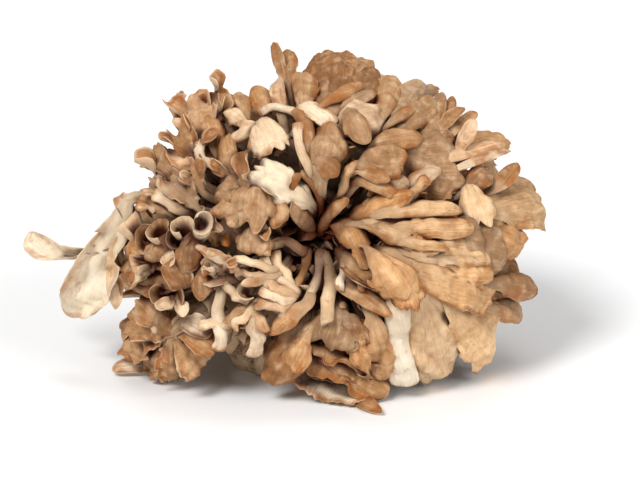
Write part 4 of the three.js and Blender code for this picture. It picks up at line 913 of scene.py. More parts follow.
NOOK_CELL = 1.6 * MM  # the head's room is looked over in cells of this size
NOOK_MARGIN = 24 * MM
NOOK_LIFT = 2.2  # millimetres off the skin, where a look round starts
NOOK_WAYS = 22  # how many ways each point looks, and how far
NOOK_STEPS = (2.0 * MM, 4.5 * MM, 7.5 * MM, 11.5 * MM, 16.5 * MM)
NOOK_SOFTENING = 3


def measure_nook_shade(shells, names):
    """Stores how closed in each point is, 0 out in the open and 1 deep between fronds, as the mask of
    the shade painted into the nooks.
    """
    every = np.concatenate([s["points"] for branch in shells for s in branch])
    low = every.min(axis=0) - NOOK_MARGIN
    size = ((every.max(axis=0) + NOOK_MARGIN - low) / NOOK_CELL).astype(int) + 1
    filled = np.zeros(size, bool)
    filled[tuple(((every - low) / NOOK_CELL).astype(int).T)] = True
    ways = [spread_direction(i, NOOK_WAYS) for i in range(NOOK_WAYS)]
    for k, (name, _, _) in enumerate(BRANCHES):
        if name not in names:
            continue
        points = np.concatenate([s["points"] for s in shells[k]])
        normals = np.concatenate([s["normals"] for s in shells[k]])
        start = (points + normals * NOOK_LIFT * MM - low) / NOOK_CELL
        closed = np.zeros(len(points))
        total = np.full(len(points), 1e-6)
        for way in ways:
            weight = np.maximum(normals @ way, 0)
            hit = np.zeros(len(points), bool)
            for far in NOOK_STEPS:
                hit |= filled[tuple((start + way * far / NOOK_CELL).astype(int).T)]
            closed += weight * hit
            total += weight
        closed /= total
        base = 0
        for s in shells[k]:
            nook_shade = closed[base:base + len(s["points"])]
            base += len(nook_shade)
            if "rings" in s:
                nook_shade = nook_shade.reshape(s["rings"])
                for _ in range(NOOK_SOFTENING):
                    nook_shade = (nook_shade * 2 + np.roll(nook_shade, 1, axis=1) + np.roll(nook_shade, -1, axis=1)) / 4
                    padded = np.concatenate([nook_shade[:1], nook_shade, nook_shade[-1:]])
                    nook_shade = (nook_shade * 2 + padded[:-2] + padded[2:]) / 4
            s["nook_shade"] = nook_shade.reshape(-1)


FLESH_ATTRIBUTES = (
    ("along", "FLOAT"), ("side", "FLOAT"), ("rim", "FLOAT"), ("nook_shade", "FLOAT"),
    ("grain", "FLOAT_VECTOR"), ("tone", "FLOAT_COLOR"),
)


def shells_to_mesh(name, shells):
    """Joins closed shells into one mesh, with the attributes that the flesh reads."""
    base = 0
    faces = []
    for shell in shells:
        faces += (shell["quads"] + base).tolist()
        faces += [[i + base for i in face] for face in shell["caps"]]
        base += len(shell["points"])
    mesh = bpy.data.meshes.new(name)
    mesh.from_pydata(np.concatenate([s["points"] for s in shells]).tolist(), [], faces)
    for key, kind in FLESH_ATTRIBUTES:
        if key in shells[0]:
            values = np.concatenate([s[key] for s in shells])
            field = {"FLOAT": "value", "FLOAT_VECTOR": "vector", "FLOAT_COLOR": "color"}[kind]
            layer = mesh.attributes.new(key, kind, "POINT")
            layer.data.foreach_set(field, np.asarray(values, np.float32).ravel())
    work = bmesh.new()
    work.from_mesh(mesh)
    bmesh.ops.recalc_face_normals(work, faces=work.faces)
    work.to_mesh(mesh)
    work.free()
    smooth_shaded(mesh)
    return mesh


BURN = {  # how strongly the margins of each tone are browned
    "white": 0.6, "cream": 0.9, "pale": 0.7, "smooth": 0.2, "tan": 0.9, "taupe": 0.5, "brown": 0.8,
    "fibre": 0.9, "orange": 1.0, "ochre": 1.0,
}
DARKEST = 0.13  # the most that a frond's tint strays from its tone
LIGHTEST = 0.12
WARMEST = 0.05
DISC_SPREAD = 0.2  # the petals of the disc are nearly of one tint


def toned(shell, tone, seed, spread=1.0):
    """Gives a shell its own tint, lighter or darker, warmer or greyer; alpha is the burn."""
    lift = mix(1 - DARKEST * spread, 1 + LIGHTEST * spread, chance(seed * 13 + 0.2))
    warm = mix(-WARMEST, WARMEST, chance(seed * 17 + 0.7)) * spread
    colour = getattr(bpy.context.scene.maitake_colours, tone)
    tint = linear(colour) * lift * np.array([1 + warm, 1, 1 - 1.6 * warm])
    tint = np.tile(tint, (len(shell["points"]), 1)) * shell.get("shade", np.ones(1))[:, None]
    burn = np.full((len(tint), 1), BURN[tone] * shell.get("burn", 1))
    shell["tone"] = np.concatenate([np.clip(tint, 0, 1), burn], axis=1)
    return shell


def branch_shells():
    """Every frond of every branch, sorted by branch."""
    shape = bpy.context.scene.maitake_shape
    shells = [[] for _ in BRANCHES]
    for i, frond in enumerate(face_fronds(FACE_FRONDS) + shelf_fronds() + face_fronds(SIDE_FRONDS)):
        seed = float(chance(i + 0.33))
        k = nearest_branch(mix(frond["root"], frond["tip"], 0.6))
        shell = frond_shell(frond, k, seed, shape, shape.give)
        spread = DISC_SPREAD if frond["kind"] == "wedge" else 1.0
        shells[k].append(toned(shell, frond["tone"], seed, spread))
        for j, lobe in enumerate(sprouts(frond, seed, shape)):
            draw = float(chance(seed * 97 + j))
            small = frond_shell(lobe, k, draw, shape, shape.give, **SPROUT_GRID)
            shells[k].append(toned(small, lobe["tone"], draw))
    return shells


def build_branches(names):
    """Makes the piece of each named branch; the others only count towards the shade painted into the
    nooks.
    """
    shells = branch_shells()
    for k in range(len(BRANCHES)):
        # painted shade: the dense middle is toned dark brown to stand for the shade in the deep gaps
        # between fronds
        shells[k].insert(0, toned(core_lump(k), "brown", 0.5))
    measure_nook_shade(shells, names)
    for k, (name, _, _) in enumerate(BRANCHES):
        if name in names:
            mesh = shells_to_mesh("soft_" + name, shells[k])
            mesh.materials.append(frond_flesh())
            piece = placed("soft_" + name, mesh)
            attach(piece, "root")
            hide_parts(name)


# ---- young fronds ----------------------------------------------------------------------------
YOUNG_FOOT = 60 * MM  # they are shaped this far above the heart, clear of the dense middle
YOUNG_GRID = dict(rows=(3, 7), columns=5)
YOUNG_DENSITY = 60000  # a square metre, before the spacing thins them out
YOUNG_FLOOR = 12 * MM  # none stand lower than this
# kind, length, width, bend, cup, wave: lengths in shares of a young frond's size
YOUNG_KINDS = [
    ("fan", 1.0, 0.9, 0.12, -1.2, 0.10),
    ("spoon", 1.15, 0.7, 0.16, 1.2, 0.08),
    ("fan", 0.9, 1.0, 0.10, 1.7, 0.12),
    ("horn", 0.8, 1.9, 0.05, 4.9, 0.08),
    ("tongue", 1.2, 0.55, 0.2, -1.5, 0.08),
    ("stem", 1.0, 0.36, 0.1, 0.0, 0.0),
]


def young_shapes(collection):
    """A few small fronds standing on the origin along +Z, to be placed many times."""
    shape = bpy.context.scene.maitake_shape
    size = shape.young_size
    for i, (kind, length, width, bend, cup, wave) in enumerate(YOUNG_KINDS):
        frond = dict(
            kind=kind, root=HEART + Z_UP * YOUNG_FOOT, tip=HEART + Z_UP * (YOUNG_FOOT + size * length),
            facing=RIGHT, width=size * width, bend=size * bend, sweep=0.0, cup=cup, turn=0,
            wave=size * wave, tone="tan",
        )
        shell = frond_shell(frond, 0, 0.17 + 0.13 * i, shape, OPEN_ROOM, **YOUNG_GRID)
        shell["points"] = shell["points"] - HEART - Z_UP * YOUNG_FOOT
        # the long stalk shrinks to a short root
        low = shell["points"][:, 2] < 0
        shell["points"][low] *= size / YOUNG_FOOT
        name = f"young_shape_{i}"
        collection.objects.link(bpy.data.objects.new(name, shells_to_mesh(name, [shell])))


def young_bed():
    """The skin of the dense middle that young fronds stand on."""
    bed = bmesh.new()
    bmesh.ops.create_icosphere(bed, subdivisions=5, radius=1)
    for v in bed.verts:
        way = unit(np.array(v.co))
        v.co = Vector(HEART + way * core_reach(way))
    bmesh.ops.delete(bed, geom=[v for v in bed.verts if v.co.z < YOUNG_FLOOR], context="VERTS")
    mesh = bpy.data.meshes.new("young_bed")
    bed.to_mesh(mesh)
    bed.free()
    return placed("young_bed", mesh)


def young_sockets(sockets):
    """The node tree's named inputs and its output."""
    sockets.new_socket("Geometry", in_out="INPUT", socket_type="NodeSocketGeometry")
    for name, value in (("Spacing", 6 * MM), ("Least size", 0.6), ("Most size", 1.4), ("Lean", 0.6)):
        socket = sockets.new_socket(name, in_out="INPUT", socket_type="NodeSocketFloat")
        socket.default_value = value
    sockets.new_socket("Seed", in_out="INPUT", socket_type="NodeSocketInt").default_value = 7
    for name in ("Light tone", "Dark tone"):
        sockets.new_socket(name, in_out="INPUT", socket_type="NodeSocketColor")
    sockets.new_socket("Geometry", in_out="OUTPUT", socket_type="NodeSocketGeometry")


def young_tree(collection, material):
    """Node tree that stands young fronds on a bed, evenly spread, turned and sized at random."""
    tree = bpy.data.node_groups.new("young fronds", "GeometryNodeTree")
    young_sockets(tree.interface)
    n = Nodes(tree)
    given = n.node("NodeGroupInput").outputs
    spread = n.fed("GeometryNodeDistributePointsOnFaces", {
        "Mesh": given["Geometry"], "Distance Min": given["Spacing"],
        "Density Max": YOUNG_DENSITY, "Seed": given["Seed"],
    }, distribute_method="POISSON")

    def draw(kind, low, high, step):
        node = n.node("FunctionNodeRandomValue", data_type=kind)
        active = [s for s in node.inputs if s.enabled]
        n.link(low, active[0])
        n.link(high, active[1])
        n.link(n.math("ADD", given["Seed"], step), node.inputs["Seed"])
        return [s for s in node.outputs if s.enabled][0]

    lean = n.vector("SCALE", draw("FLOAT_VECTOR", (-1, -1, -1), (1, 1, 1), 1))
    n.link(given["Lean"], lean.node.inputs["Scale"])
    way = n.vector("ADD", spread.outputs["Normal"], lean)
    stand = n.fed("FunctionNodeAlignRotationToVector", {"Vector": way}, axis="Z")
    whirl = n.fed("FunctionNodeAxisAngleToRotation", {
        "Axis": (0, 0, 1), "Angle": draw("FLOAT", 0.0, 2 * math.pi, 2),
    })
    spin = n.fed("FunctionNodeRotateRotation", {
        0: stand.outputs[0], 1: whirl.outputs[0],
    }, rotation_space="LOCAL")
    shapes = n.fed("GeometryNodeCollectionInfo", {"Collection": collection, "Separate Children": True})
    copies = n.fed("GeometryNodeInstanceOnPoints", {
        "Points": spread.outputs["Points"], "Instance": shapes.outputs[0], "Pick Instance": True,
        "Instance Index": draw("INT", 0, len(YOUNG_KINDS) - 1, 3), "Rotation": spin.outputs[0],
        "Scale": draw("FLOAT", given["Least size"], given["Most size"], 4),
    })
    share = draw("FLOAT", 0.0, 1.0, 5)
    tint = n.fed("GeometryNodeStoreNamedAttribute", {
        "Geometry": copies.outputs[0], "Name": "tone",
        "Value": n.blend(share, given["Dark tone"], given["Light tone"]),
    }, data_type="FLOAT_COLOR", domain="INSTANCE")
    real = n.fed("GeometryNodeRealizeInstances", {0: tint.outputs[0]})
    dress = n.fed("GeometryNodeSetMaterial", {"Geometry": real.outputs[0], "Material": material})
    n.fed("NodeGroupOutput", {"Geometry": dress.outputs[0]})
    return tree


# ---- materials -------------------------------------------------------------------------------
class Nodes:
    """Short calls for laying out a node tree."""

    def __init__(self, tree):
        self.tree = tree
        tree.nodes.clear()

    def node(self, kind, **settings):
        node = self.tree.nodes.new(kind)
        for key, value in settings.items():
            setattr(node, key, value)
        return node

    def link(self, source, socket):
        """Feeds a socket from another one, or sets its value."""
        if hasattr(source, "is_output"):
            self.tree.links.new(source, socket)
        else:
            socket.default_value = source

    def fed(self, kind, inputs, **settings):
        """A node with its inputs fed, by name or number."""
        node = self.node(kind, **settings)
        for key, source in inputs.items():
            self.link(source, node.inputs[key])
        return node

    def math(self, operation, a, b=0.0, c=0.0):
        inputs = {0: a, 1: b, 2: c}
        return self.fed("ShaderNodeMath", inputs, operation=operation).outputs[0]

    def swing(self, value, middle, weight, base):
        """A base, moved by a weight times how far a value is from its middle."""
        return self.math("MULTIPLY_ADD", self.math("SUBTRACT", value, middle), weight, base)

    def vector(self, operation, a, b=(0, 0, 0), c=(0, 0, 0)):
        node = self.fed("ShaderNodeVectorMath", {0: a, 1: b, 2: c}, operation=operation)
        return node.outputs["Value" if operation == "DOT_PRODUCT" else "Vector"]

    def attribute(self, name, output="Fac"):
        return self.node("ShaderNodeAttribute", attribute_name=name).outputs[output]

    def noise(self, vector, scale, detail=2.0, rough=0.5):
        inputs = {"Vector": vector, "Scale": scale, "Detail": detail, "Roughness": rough}
        return self.fed("ShaderNodeTexNoise", inputs).outputs["Fac"]

    def drawn_out(self, grain, share, scale, detail=2.0, rough=0.5):
        """Noise drawn out along the grain; the share is how much slower it changes that way."""
        return self.noise(self.vector("MULTIPLY", grain, (1.0, share, 1.0)), scale, detail, rough)

    def smooth(self, value, low, high, to_low=0.0, to_high=1.0):
        inputs = dict(enumerate((value, low, high, to_low, to_high)))
        node = self.fed("ShaderNodeMapRange", inputs, interpolation_type="SMOOTHSTEP")
        return node.outputs["Result"]

    def blend(self, factor, a, b, kind="MIX"):
        inputs = {0: factor, 6: a, 7: b}
        node = self.fed("ShaderNodeMix", inputs, data_type="RGBA", blend_type=kind, clamp_factor=True)
        return node.outputs[2]

    def warm_grey(self, value):
        """A grey that turns warmer as it darkens."""
        inputs = {i: self.math("POWER", value, power) for i, power in enumerate((1.0, 1.3, 1.7))}
        return self.fed("ShaderNodeCombineColor", inputs).outputs[0]

    def bump(self, height, strength, distance):
        inputs = {"Strength": strength, "Distance": distance, "Height": height}
        return self.fed("ShaderNodeBump", inputs).outputs["Normal"]


def shade_of_depth(n, position):
    """How much shade is painted in: 1 at the dense middle of the head, 0 out where the fronds end."""
    v = n.vector("SUBTRACT", position, tuple(HEART))
    across, along, out = (
        n.math("DIVIDE", n.vector("DOT_PRODUCT", v, tuple(way)), far)
        for way, far in ((RIGHT, REACH_SIDE), (UP, REACH_HEIGHT), (OUT, REACH_FRONT))
    )
    squares = n.math("MULTIPLY", across, across)
    squares = n.math("MULTIPLY_ADD", along, along, squares)
    squares = n.math("MULTIPLY_ADD", out, out, squares)
    reach = n.math("SQRT", squares)
    facing = n.vector("DOT_PRODUCT", n.vector("NORMALIZE", v), tuple(OUT))
    core = n.smooth(facing, 0.1, 0.8, CORE_SHARE, CORE_FRONT)
    share = n.math("DIVIDE", n.math("SUBTRACT", reach, core), n.math("SUBTRACT", 1.0, core))
    return n.smooth(share, -0.7, 0.6, 1.0, 0.0)


def flesh_material(name):
    material = bpy.data.materials.new(name)
    material.use_nodes = True
    return material, Nodes(material.node_tree)


def finish_flesh(n, colour, roughness, normal, subsurface):
    shader = n.fed("ShaderNodeBsdfPrincipled", {
        "Base Color": colour, "Roughness": roughness, "Normal": normal, "Specular IOR Level": 0.24,
        "Subsurface Weight": subsurface, "Subsurface Radius": (1.0, 0.55, 0.3),
        "Subsurface Scale": 3 * MM,
    })
    n.fed("ShaderNodeOutputMaterial", {"Surface": shader.outputs["BSDF"]})


class FrondMarks:
    """What the flesh reads off each frond, and the marks along its grain and all over it."""

    def __init__(self, n):
        self.place = n.node("ShaderNodeTexCoord").outputs["Object"]
        self.tone = n.attribute("tone", "Color")
        self.side = n.attribute("side")
        self.rim = n.attribute("rim")
        self.along = n.attribute("along")
        grain = n.attribute("grain", "Vector")
        self.streak = n.drawn_out(grain, 0.05, 0.5, 3.0, 0.6)
        self.fibre = n.drawn_out(grain, 0.04, 1.1, 3.0, 0.6)
        self.hair = n.drawn_out(grain, 0.03, 3.0, 2.0)
        self.mottle = n.noise(self.place, 190.0, 4.0, 0.6)
        self.patch = n.noise(self.place, 45.0, 2.0)
        # thin dark lines along the fibres, and bands that follow the margin
        self.line = n.smooth(n.math("ABSOLUTE", n.math("SUBTRACT", self.fibre, 0.5)), 0.0, 0.05)
        inward = n.fed("ShaderNodeCombineXYZ", {"X": self.rim}).outputs[0]
        self.ring = n.noise(n.vector("MULTIPLY_ADD", grain, (0.01, 0.01, 1.0), inward), 0.5)


def cap_side(n, marks, pale, bruise):
    """Colour of a cap: streaks and bands in its own tone, a painted pale highlight on the ridges and
    browned margins.
    """
    bands = n.smooth(marks.rim, 12.0, 3.0, 0.0, 0.6)
    light = 1.0
    for mark, middle, weight in (
        (marks.fibre, 0.5, 0.34), (marks.streak, 0.5, 0.2), (marks.hair, 0.5, 0.5),
        (marks.ring, 0.5, bands), (marks.mottle, 0.5, 0.9), (marks.patch, 0.5, 0.9),
        (marks.line, 1.0, 0.1),
    ):
        light = n.swing(mark, middle, weight, light)
    # pale tones are plainer, and stalks darker than caps: partly their own browner flesh, partly painted
    # shade where a frond's foot sits deep among the others
    plain = n.smooth(n.vector("DOT_PRODUCT", marks.tone, (0, 1, 0)), 0.4, 0.7, 1.0, 0.4)
    light = n.swing(light, 1.0, plain, 1.0)
    light = n.math("MULTIPLY", light, n.smooth(marks.along, -0.3, 0.7, 0.72, 1.06))
    cap = n.blend(1.0, marks.tone, n.warm_grey(light), "MULTIPLY")
    # painted highlight: a pale sheen on the ridges
    ridge_highlight = n.math("ADD", n.math("MULTIPLY", marks.streak, 0.3), n.math("MULTIPLY", marks.mottle, 0.7))
    cap = n.blend(n.smooth(ridge_highlight, 0.48, 0.68, 0.0, 0.34), cap, pale)
    # margins: browned in ragged patches, here and there with a pale rim, most of all at the left
    ragged = n.swing(marks.fibre, 0.5, 6.0, marks.rim)
    ragged = n.swing(marks.mottle, 0.5, 7.0, ragged)
    near = n.smooth(ragged, 0.3, 5.0, 1.0, 0.0)
    worn = n.smooth(n.noise(marks.place, 75.0, 3.0), 0.38, 0.6, 0.1, 1.0)
    burn = n.math("MULTIPLY", n.math("MULTIPLY", near, worn), n.attribute("tone", "Alpha"))
    cap = n.blend(burn, cap, bruise)
    left = n.smooth(n.vector("DOT_PRODUCT", marks.place, (1, 0, 0)), -0.03, 0.02, 0.6, 0.05)
    rimmed = n.math("MULTIPLY", n.smooth(marks.rim, 0.3, 1.1, 1.0, 0.0), n.smooth(marks.patch, 0.4, 0.6))
    return n.blend(n.math("MULTIPLY", rimmed, left), cap, pale)


def frond_relief(n, marks):
    """Normal of a frond: its marks stand out a little, and its underside is pored."""
    pores = n.fed("ShaderNodeTexVoronoi", {"Vector": marks.place, "Scale": 1500.0})
    below = n.smooth(marks.side, 0.1, -0.4)
    holes = n.math("MULTIPLY", n.smooth(pores.outputs["Distance"], 0.1, 0.5), below)
    height = n.math("MULTIPLY", marks.hair, 0.5)
    for mark, weight in (
        (marks.fibre, 0.6), (marks.line, 0.1), (marks.streak, 0.3), (marks.mottle, 0.7),
        (n.noise(marks.place, 900.0, 2.0), 0.12), (holes, 0.25),
    ):
        height = n.math("MULTIPLY_ADD", mark, weight, height)
    return n.bump(height, 0.75, 0.9 * MM)


def frond_flesh():
    """Fibrous caps with zones, bruised margins and pale rims; pale pored undersides; painted shade
    towards the heart and in the nooks between fronds, and a painted highlight on the ridges.
    """
    if "fibrous caps" in bpy.data.materials:
        return bpy.data.materials["fibrous caps"]
    colours = bpy.context.scene.maitake_colours
    pale, bruise, dark = (paint(c) for c in (colours.cream, colours.bruise, colours.shadow))
    material, n = flesh_material("fibrous caps")
    marks = FrondMarks(n)
    # underside and stalk: pale, with a breath of the cap's tone
    under = n.blend(n.smooth(marks.mottle, 0.35, 0.7, 0.1, 0.42), pale, marks.tone)
    upper = n.smooth(marks.side, -0.25, 0.35)
    stalk = n.smooth(marks.along, -0.5, 0.5, 0.3, 1.0)
    flesh = n.blend(n.math("MULTIPLY", upper, stalk), under, cap_side(n, marks, pale, bruise))
    stain = n.smooth(n.noise(marks.place, 120.0, 3.0, 0.65), 0.6, 0.74, 0.0, 0.5)
    flesh = n.blend(stain, flesh, bruise)
    # painted shade: darker towards the heart, and in the nooks between fronds, where shade falls
    flesh = n.blend(n.math("MULTIPLY", shade_of_depth(n, marks.place), 0.7), flesh, dark)
    flesh = n.blend(n.smooth(n.attribute("nook_shade"), 0.34, 0.92, 0.0, 0.94), flesh, dark)
    roughness = n.smooth(marks.mottle, 0.2, 0.8, 0.42, 0.7)
    finish_flesh(n, flesh, roughness, frond_relief(n, marks), 0.1)
    return material


def butt_flesh():
    """Cream flesh, knobbly, with earth in its hollows and a cut foot."""
    if "knobbly foot" in bpy.data.materials:
        return bpy.data.materials["knobbly foot"]
    colours = bpy.context.scene.maitake_colours
    material, n = flesh_material("knobbly foot")
    place = n.node("ShaderNodeTexCoord").outputs["Object"]
    coarse = n.noise(place, 60.0, 4.0, 0.6)
    fine = n.noise(place, 420.0, 4.0, 0.65)
    bruised = n.smooth(coarse, 0.42, 0.68, 0.0, 0.55)
    flesh = n.blend(bruised, paint(colours.cream), paint(colours.bruise))
    soil = n.math("MULTIPLY", n.smooth(fine, 0.5, 0.62), n.smooth(coarse, 0.35, 0.6, 0.15, 0.8))
    flesh = n.blend(soil, flesh, paint(colours.earth))
    # painted shade: dark towards the heart, under the overhanging fronds, but not at the foot
    height = n.vector("DOT_PRODUCT", place, (0, 0, 1))
    deep = n.math("MULTIPLY", shade_of_depth(n, place), n.smooth(height, 0.018, 0.045))
    flesh = n.blend(n.math("MULTIPLY", deep, 0.9), flesh, paint(colours.shadow))
    roughness = n.smooth(fine, 0.2, 0.8, 0.6, 0.85)
    bumps = n.math("MULTIPLY_ADD", coarse, 0.6, n.math("MULTIPLY", fine, 0.6))
    finish_flesh(n, flesh, roughness, n.bump(bumps, 0.8, 1.2 * MM), 0.08)
    return material


# ---- sizes and colours a user may change -----------------------------------------------------
def colour_property(name, description, default):
    return bpy.props.FloatVectorProperty(
        name=name, description=description, subtype="COLOR", size=3, min=0, max=1, default=default,
    )


def gain_property(name, description, default, least, most):
    return bpy.props.FloatProperty(
        name=name, description=description, default=default, min=least, max=most,
    )


def length_property(name, description, default, least, most):
    """A length, given in millimetres."""
    return bpy.props.FloatProperty(
        name=name, description=description, unit="LENGTH",
        default=default * MM, min=least * MM, max=most * MM,
    )


class MaitakeShape(bpy.types.PropertyGroup):
    """Sizes of the head's fronds and of its butt"""

    mesh_step: length_property("Mesh step", "Spacing of a frond's points", 1.05, 0.5, 5)
    lobe: gain_property(
        "Lobes", "How deeply margins are lobed, as a share of the frond", 0.15, 0, 0.5,
    )
    ruffle: gain_property("Ruffle", "Gain of the margin's waves", 1.5, 0, 3)
    roundness: gain_property("Roundness", "Gain of a cap's curve across", 1.5, 0.5, 3)
    dent: length_property("Dents", "Depth of the dents all over a cap", 1.0, 0, 4)
    pleat: length_property("Pleat", "Height of the folds along a fan", 0.6, 0, 3)
    curl: length_property("Curl", "How far a margin turns over", 2.4, 0, 6)
    give: length_property("Give", "How far a frond may lean into its neighbour's room", 6, 0, 12)
    young_size: length_property("Young frond", "Height of a young frond", 9, 3, 20)
    young_spacing: length_property(
        "Young spacing", "Least distance between young fronds", 6.5, 3, 30,
    )
    sprouts: gain_property(
        "Sprouts", "How many small lobes branch from a frond at the left", 1.7, 0, 8,
    )
    butt_step: length_property("Butt step", "Spacing of the butt's points", 1.2, 0.8, 4)


class MaitakeColours(bpy.types.PropertyGroup):
    """Tones of the fronds, of the butt and of the floor"""

    cream: colour_property("Cream", "Pale flesh, undersides and rims", (0.88, 0.765, 0.63))
    pale: colour_property("Pale", "Pale fans", (0.82, 0.665, 0.515))
    white: colour_property("White", "Pale stalks in full light", (0.94, 0.865, 0.75))
    smooth: colour_property("Smooth", "Broad smooth pale fans", (0.92, 0.765, 0.59))
    tan: colour_property("Tan", "Common caps", (0.685, 0.515, 0.35))
    taupe: colour_property("Taupe", "Greyish caps", (0.64, 0.50, 0.365))
    brown: colour_property("Brown", "Dark caps", (0.55, 0.385, 0.24))
    fibre: colour_property("Fibre", "Fibrous fans", (0.775, 0.61, 0.435))
    orange: colour_property("Orange", "Warm caps", (0.75, 0.555, 0.365))
    ochre: colour_property("Ochre", "Yellowish caps", (0.76, 0.62, 0.46))
    bruise: colour_property("Bruise", "Browned margins and tips", (0.62, 0.365, 0.145))
    # painted shade: this dark brown is laid where shade falls, deep inside the head, in the nooks
    # between fronds and on the butt under the fronds
    shadow: colour_property("Inside", "Brown flesh deep inside the head", (0.31, 0.11, 0.03))
    earth: colour_property("Earth", "Soil on the butt", (0.42, 0.35, 0.26))
    floor: colour_property("Floor", "Floor that the head stands on", (0.95, 0.95, 0.95))


# ---- butt ------------------------------------------------------------------------------------
BUTT_WELD = 0.02 * MM
BUTT_SOFTENING = 10
KNOB_HEIGHT = 1.5 * MM
KNOBS_PER_METRE = 60
DIMPLE_DEPTH = 1.4 * MM
DIMPLES_PER_METRE = 130
FOOT_EDGE = 5 * MM  # the knobs grow from nothing over this height
FOOT_CUT = 0.35 * MM  # whatever is lower is cut flat


def even_butt(step):
    """The CAD butt welded, remeshed evenly and softened."""
    rough = frame["nodes"]["stem_base"].data.copy()
    work = bmesh.new()
    work.from_mesh(rough)
    bmesh.ops.remove_doubles(work, verts=work.verts, dist=BUTT_WELD)
    work.to_mesh(rough)
    work.free()
    draft = placed("butt_draft", rough)
    remesh = draft.modifiers.new("even", "REMESH")
    remesh.mode = "VOXEL"
    remesh.voxel_size = step
    smooth = draft.modifiers.new("soften", "SMOOTH")
    smooth.iterations = BUTT_SOFTENING
    graph = bpy.context.evaluated_depsgraph_get()
    mesh = bpy.data.meshes.new_from_object(draft.evaluated_get(graph))
    bpy.data.objects.remove(draft)
    return mesh


def knobbled(mesh):
    """Knobs and dimples all over the butt, and its foot cut flat."""
    normals = np.array([v.normal for v in mesh.vertices])
    points = np.array([v.co for v in mesh.vertices])
    knobs = np.array([
        KNOB_HEIGHT * noise.fractal(Vector(p * KNOBS_PER_METRE), 1.0, 2.0, 4)
        - DIMPLE_DEPTH * max(0.0, noise.noise(Vector(p * DIMPLES_PER_METRE))) for p in points
    ])
    points = points + normals * (knobs * ease(0, FOOT_EDGE, points[:, 2]))[:, None]
    points[:, 2] = np.maximum(points[:, 2], 0)
    points[points[:, 2] < FOOT_CUT, 2] = 0
    mesh.vertices.foreach_set("co", points.ravel())
    smooth_shaded(mesh)
    mesh.update()


# ---- stage -----------------------------------------------------------------------------------
FLOOR_RADIUS = 40.0
FLOOR_DROP = 0.1 * MM
ROOM_LIGHT = 0.34
STUDIO_LIGHTS = [  # name, where it shines from, how wide it looks in degrees, strength
    ("key_light", (-1.2, -2.0, 2.2), 20, 2.6),
    ("fill_light", (1.9, -1.6, 1.3), 35, 1.25),
    ("top_light", (0.1, 0.5, 2.2), 30, 0.6),
]
CAMERA_DISTANCE = 2.0
SENSOR_WIDTH = 36
VIEW_WIDTH = 320 * MM  # how much of the head's own plane the view takes in
AIM_RIGHT = 15 * MM
AIM_UP = 61 * MM
AIM_OUT = 45 * MM


def lay_floor():
    plane = bmesh.new()
    bmesh.ops.create_circle(plane, cap_ends=True, segments=64, radius=FLOOR_RADIUS)
    mesh = bpy.data.meshes.new("floor")
    plane.to_mesh(mesh)
    plane.free()
    material = bpy.data.materials.new("floor_paper")
    material.use_nodes = True
    paper = material.node_tree.nodes["Principled BSDF"]
    paper.inputs["Base Color"].default_value = paint(bpy.context.scene.maitake_colours.floor)
    paper.inputs["Roughness"].default_value = 0.9
    paper.inputs["Specular IOR Level"].default_value = 0.1
    mesh.materials.append(material)
    floor = placed("floor", mesh)
    floor.location.z = -FLOOR_DROP


def light_room():
    world = bpy.data.worlds.new("white_room")
    world.use_nodes = True
    sky = world.node_tree.nodes["Background"]
    sky.inputs["Color"].default_value = (1, 1, 1, 1)
    sky.inputs["Strength"].default_value = ROOM_LIGHT
    bpy.context.scene.world = world
    for name, place, wide, power in STUDIO_LIGHTS:
        light = bpy.data.lights.new(name, "SUN")
        light.angle = math.radians(wide)
        light.energy = power
        lamp = placed(name, light)
        lamp.location = place
        lamp.rotation_euler = (-Vector(place)).to_track_quat("-Z", "Y").to_euler()


def aim_camera():
    """Looks straight at the rosette's face."""
    lens = bpy.data.cameras.new("camera")
    lens.sensor_width = SENSOR_WIDTH
    lens.lens = SENSOR_WIDTH * CAMERA_DISTANCE / VIEW_WIDTH
    lens.clip_end = 100
    camera = placed("camera", lens)
    aim = RIGHT * AIM_RIGHT + UP * AIM_UP + OUT * AIM_OUT
    camera.location = Vector(aim + OUT * CAMERA_DISTANCE)
    camera.rotation_euler = (math.pi / 2 - FACE_TILT, 0, 0)
    bpy.context.scene.camera = camera


# ---- operators -------------------------------------------------------------------------------
class MAITAKE_OT_butt(bpy.types.Operator):
    """Build the knobbly cut butt"""

    bl_idname = "maitake.butt"
    bl_label = "Butt"

    def execute(self, context):
        mesh = even_butt(context.scene.maitake_shape.butt_step)
        knobbled(mesh)
        mesh.materials.clear()
        mesh.materials.append(butt_flesh())
        piece = placed("knobbly_butt", mesh)
        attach(piece, "root")
        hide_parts("stem_base")
        return {"FINISHED"}


class MAITAKE_OT_face_fronds(bpy.types.Operator):
    """Build the eight branches of the rosette's face"""

    bl_idname = "maitake.face_fronds"
    bl_label = "Face fronds"

    def execute(self, context):
        build_branches(FACE_BRANCHES)
        return {"FINISHED"}


class MAITAKE_OT_back_fronds(bpy.types.Operator):
    """Build the four branches of drooping shelves behind the face"""

    bl_idname = "maitake.back_fronds"
    bl_label = "Back fronds"

    def execute(self, context):
        build_branches(BACK_BRANCHES)
        return {"FINISHED"}


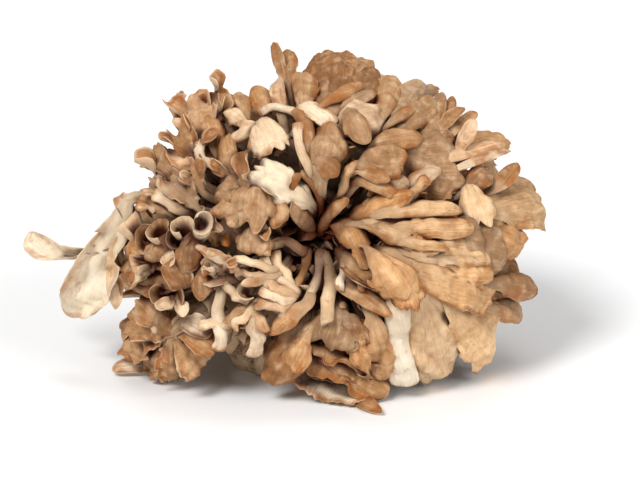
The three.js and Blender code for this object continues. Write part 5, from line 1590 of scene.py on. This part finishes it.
class MAITAKE_OT_young_fronds(bpy.types.Operator):
    """Stand small fronds all over the dense middle, between the grown ones"""

    bl_idname = "maitake.young_fronds"
    bl_label = "Young fronds"

    def execute(self, context):
        shape = context.scene.maitake_shape
        colours = context.scene.maitake_colours
        shapes = bpy.data.collections.new("young_shapes")
        young_shapes(shapes)
        bed = young_bed()
        tree = young_tree(shapes, frond_flesh())
        grower = bed.modifiers.new("young", "NODES")
        grower.node_group = tree
        values = {
            "Spacing": shape.young_spacing,
            "Light tone": paint(colours.fibre),
            "Dark tone": paint(colours.brown),
        }
        for item in tree.interface.items_tree:
            if item.item_type == "SOCKET" and item.name in values:
                grower[item.identifier] = values[item.name]
        graph = context.evaluated_depsgraph_get()
        mesh = bpy.data.meshes.new_from_object(bed.evaluated_get(graph))
        bed.modifiers.remove(grower)
        old = bed.data
        bed.data = mesh
        bpy.data.meshes.remove(old)
        bed.name = "young_fronds"
        for item in list(shapes.objects):
            bpy.data.objects.remove(item)
        bpy.data.collections.remove(shapes)
        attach(bed, "root")
        return {"FINISHED"}


class MAITAKE_OT_stage(bpy.types.Operator):
    """Set the floor, the soft lights and the camera"""

    bl_idname = "maitake.stage"
    bl_label = "Stage"

    def execute(self, context):
        lay_floor()
        light_room()
        aim_camera()
        context.scene.view_settings.view_transform = "Standard"
        return {"FINISHED"}


class MAITAKE_PT_head(bpy.types.Panel):
    """Lists the pieces of the maitake head"""

    bl_idname = "MAITAKE_PT_head"
    bl_label = "Maitake"
    bl_space_type = "VIEW_3D"
    bl_region_type = "UI"
    bl_category = "Maitake"

    def draw(self, context):
        column = self.layout.column()
        for step in STEPS:
            column.operator(step.bl_idname)
        for group in (context.scene.maitake_shape, context.scene.maitake_colours):
            for name in group.__annotations__:
                column.prop(group, name)


STEPS = (
    MAITAKE_OT_butt,
    MAITAKE_OT_face_fronds,
    MAITAKE_OT_back_fronds,
    MAITAKE_OT_young_fronds,
    MAITAKE_OT_stage,
)
CLASSES = (MaitakeShape, MaitakeColours, *STEPS, MAITAKE_PT_head)


def register():
    for item in CLASSES:
        bpy.utils.register_class(item)
    bpy.types.Scene.maitake_shape = bpy.props.PointerProperty(type=MaitakeShape)
    bpy.types.Scene.maitake_colours = bpy.props.PointerProperty(type=MaitakeColours)


def unregister():
    del bpy.types.Scene.maitake_colours
    del bpy.types.Scene.maitake_shape
    for item in reversed(CLASSES):
        bpy.utils.unregister_class(item)


def main():
    register()
    bpy.ops.maitake.butt()
    bpy.ops.maitake.face_fronds()
    bpy.ops.maitake.back_fronds()
    bpy.ops.maitake.young_fronds()
    bpy.ops.maitake.stage()


if __name__ == "__main__":
    main()
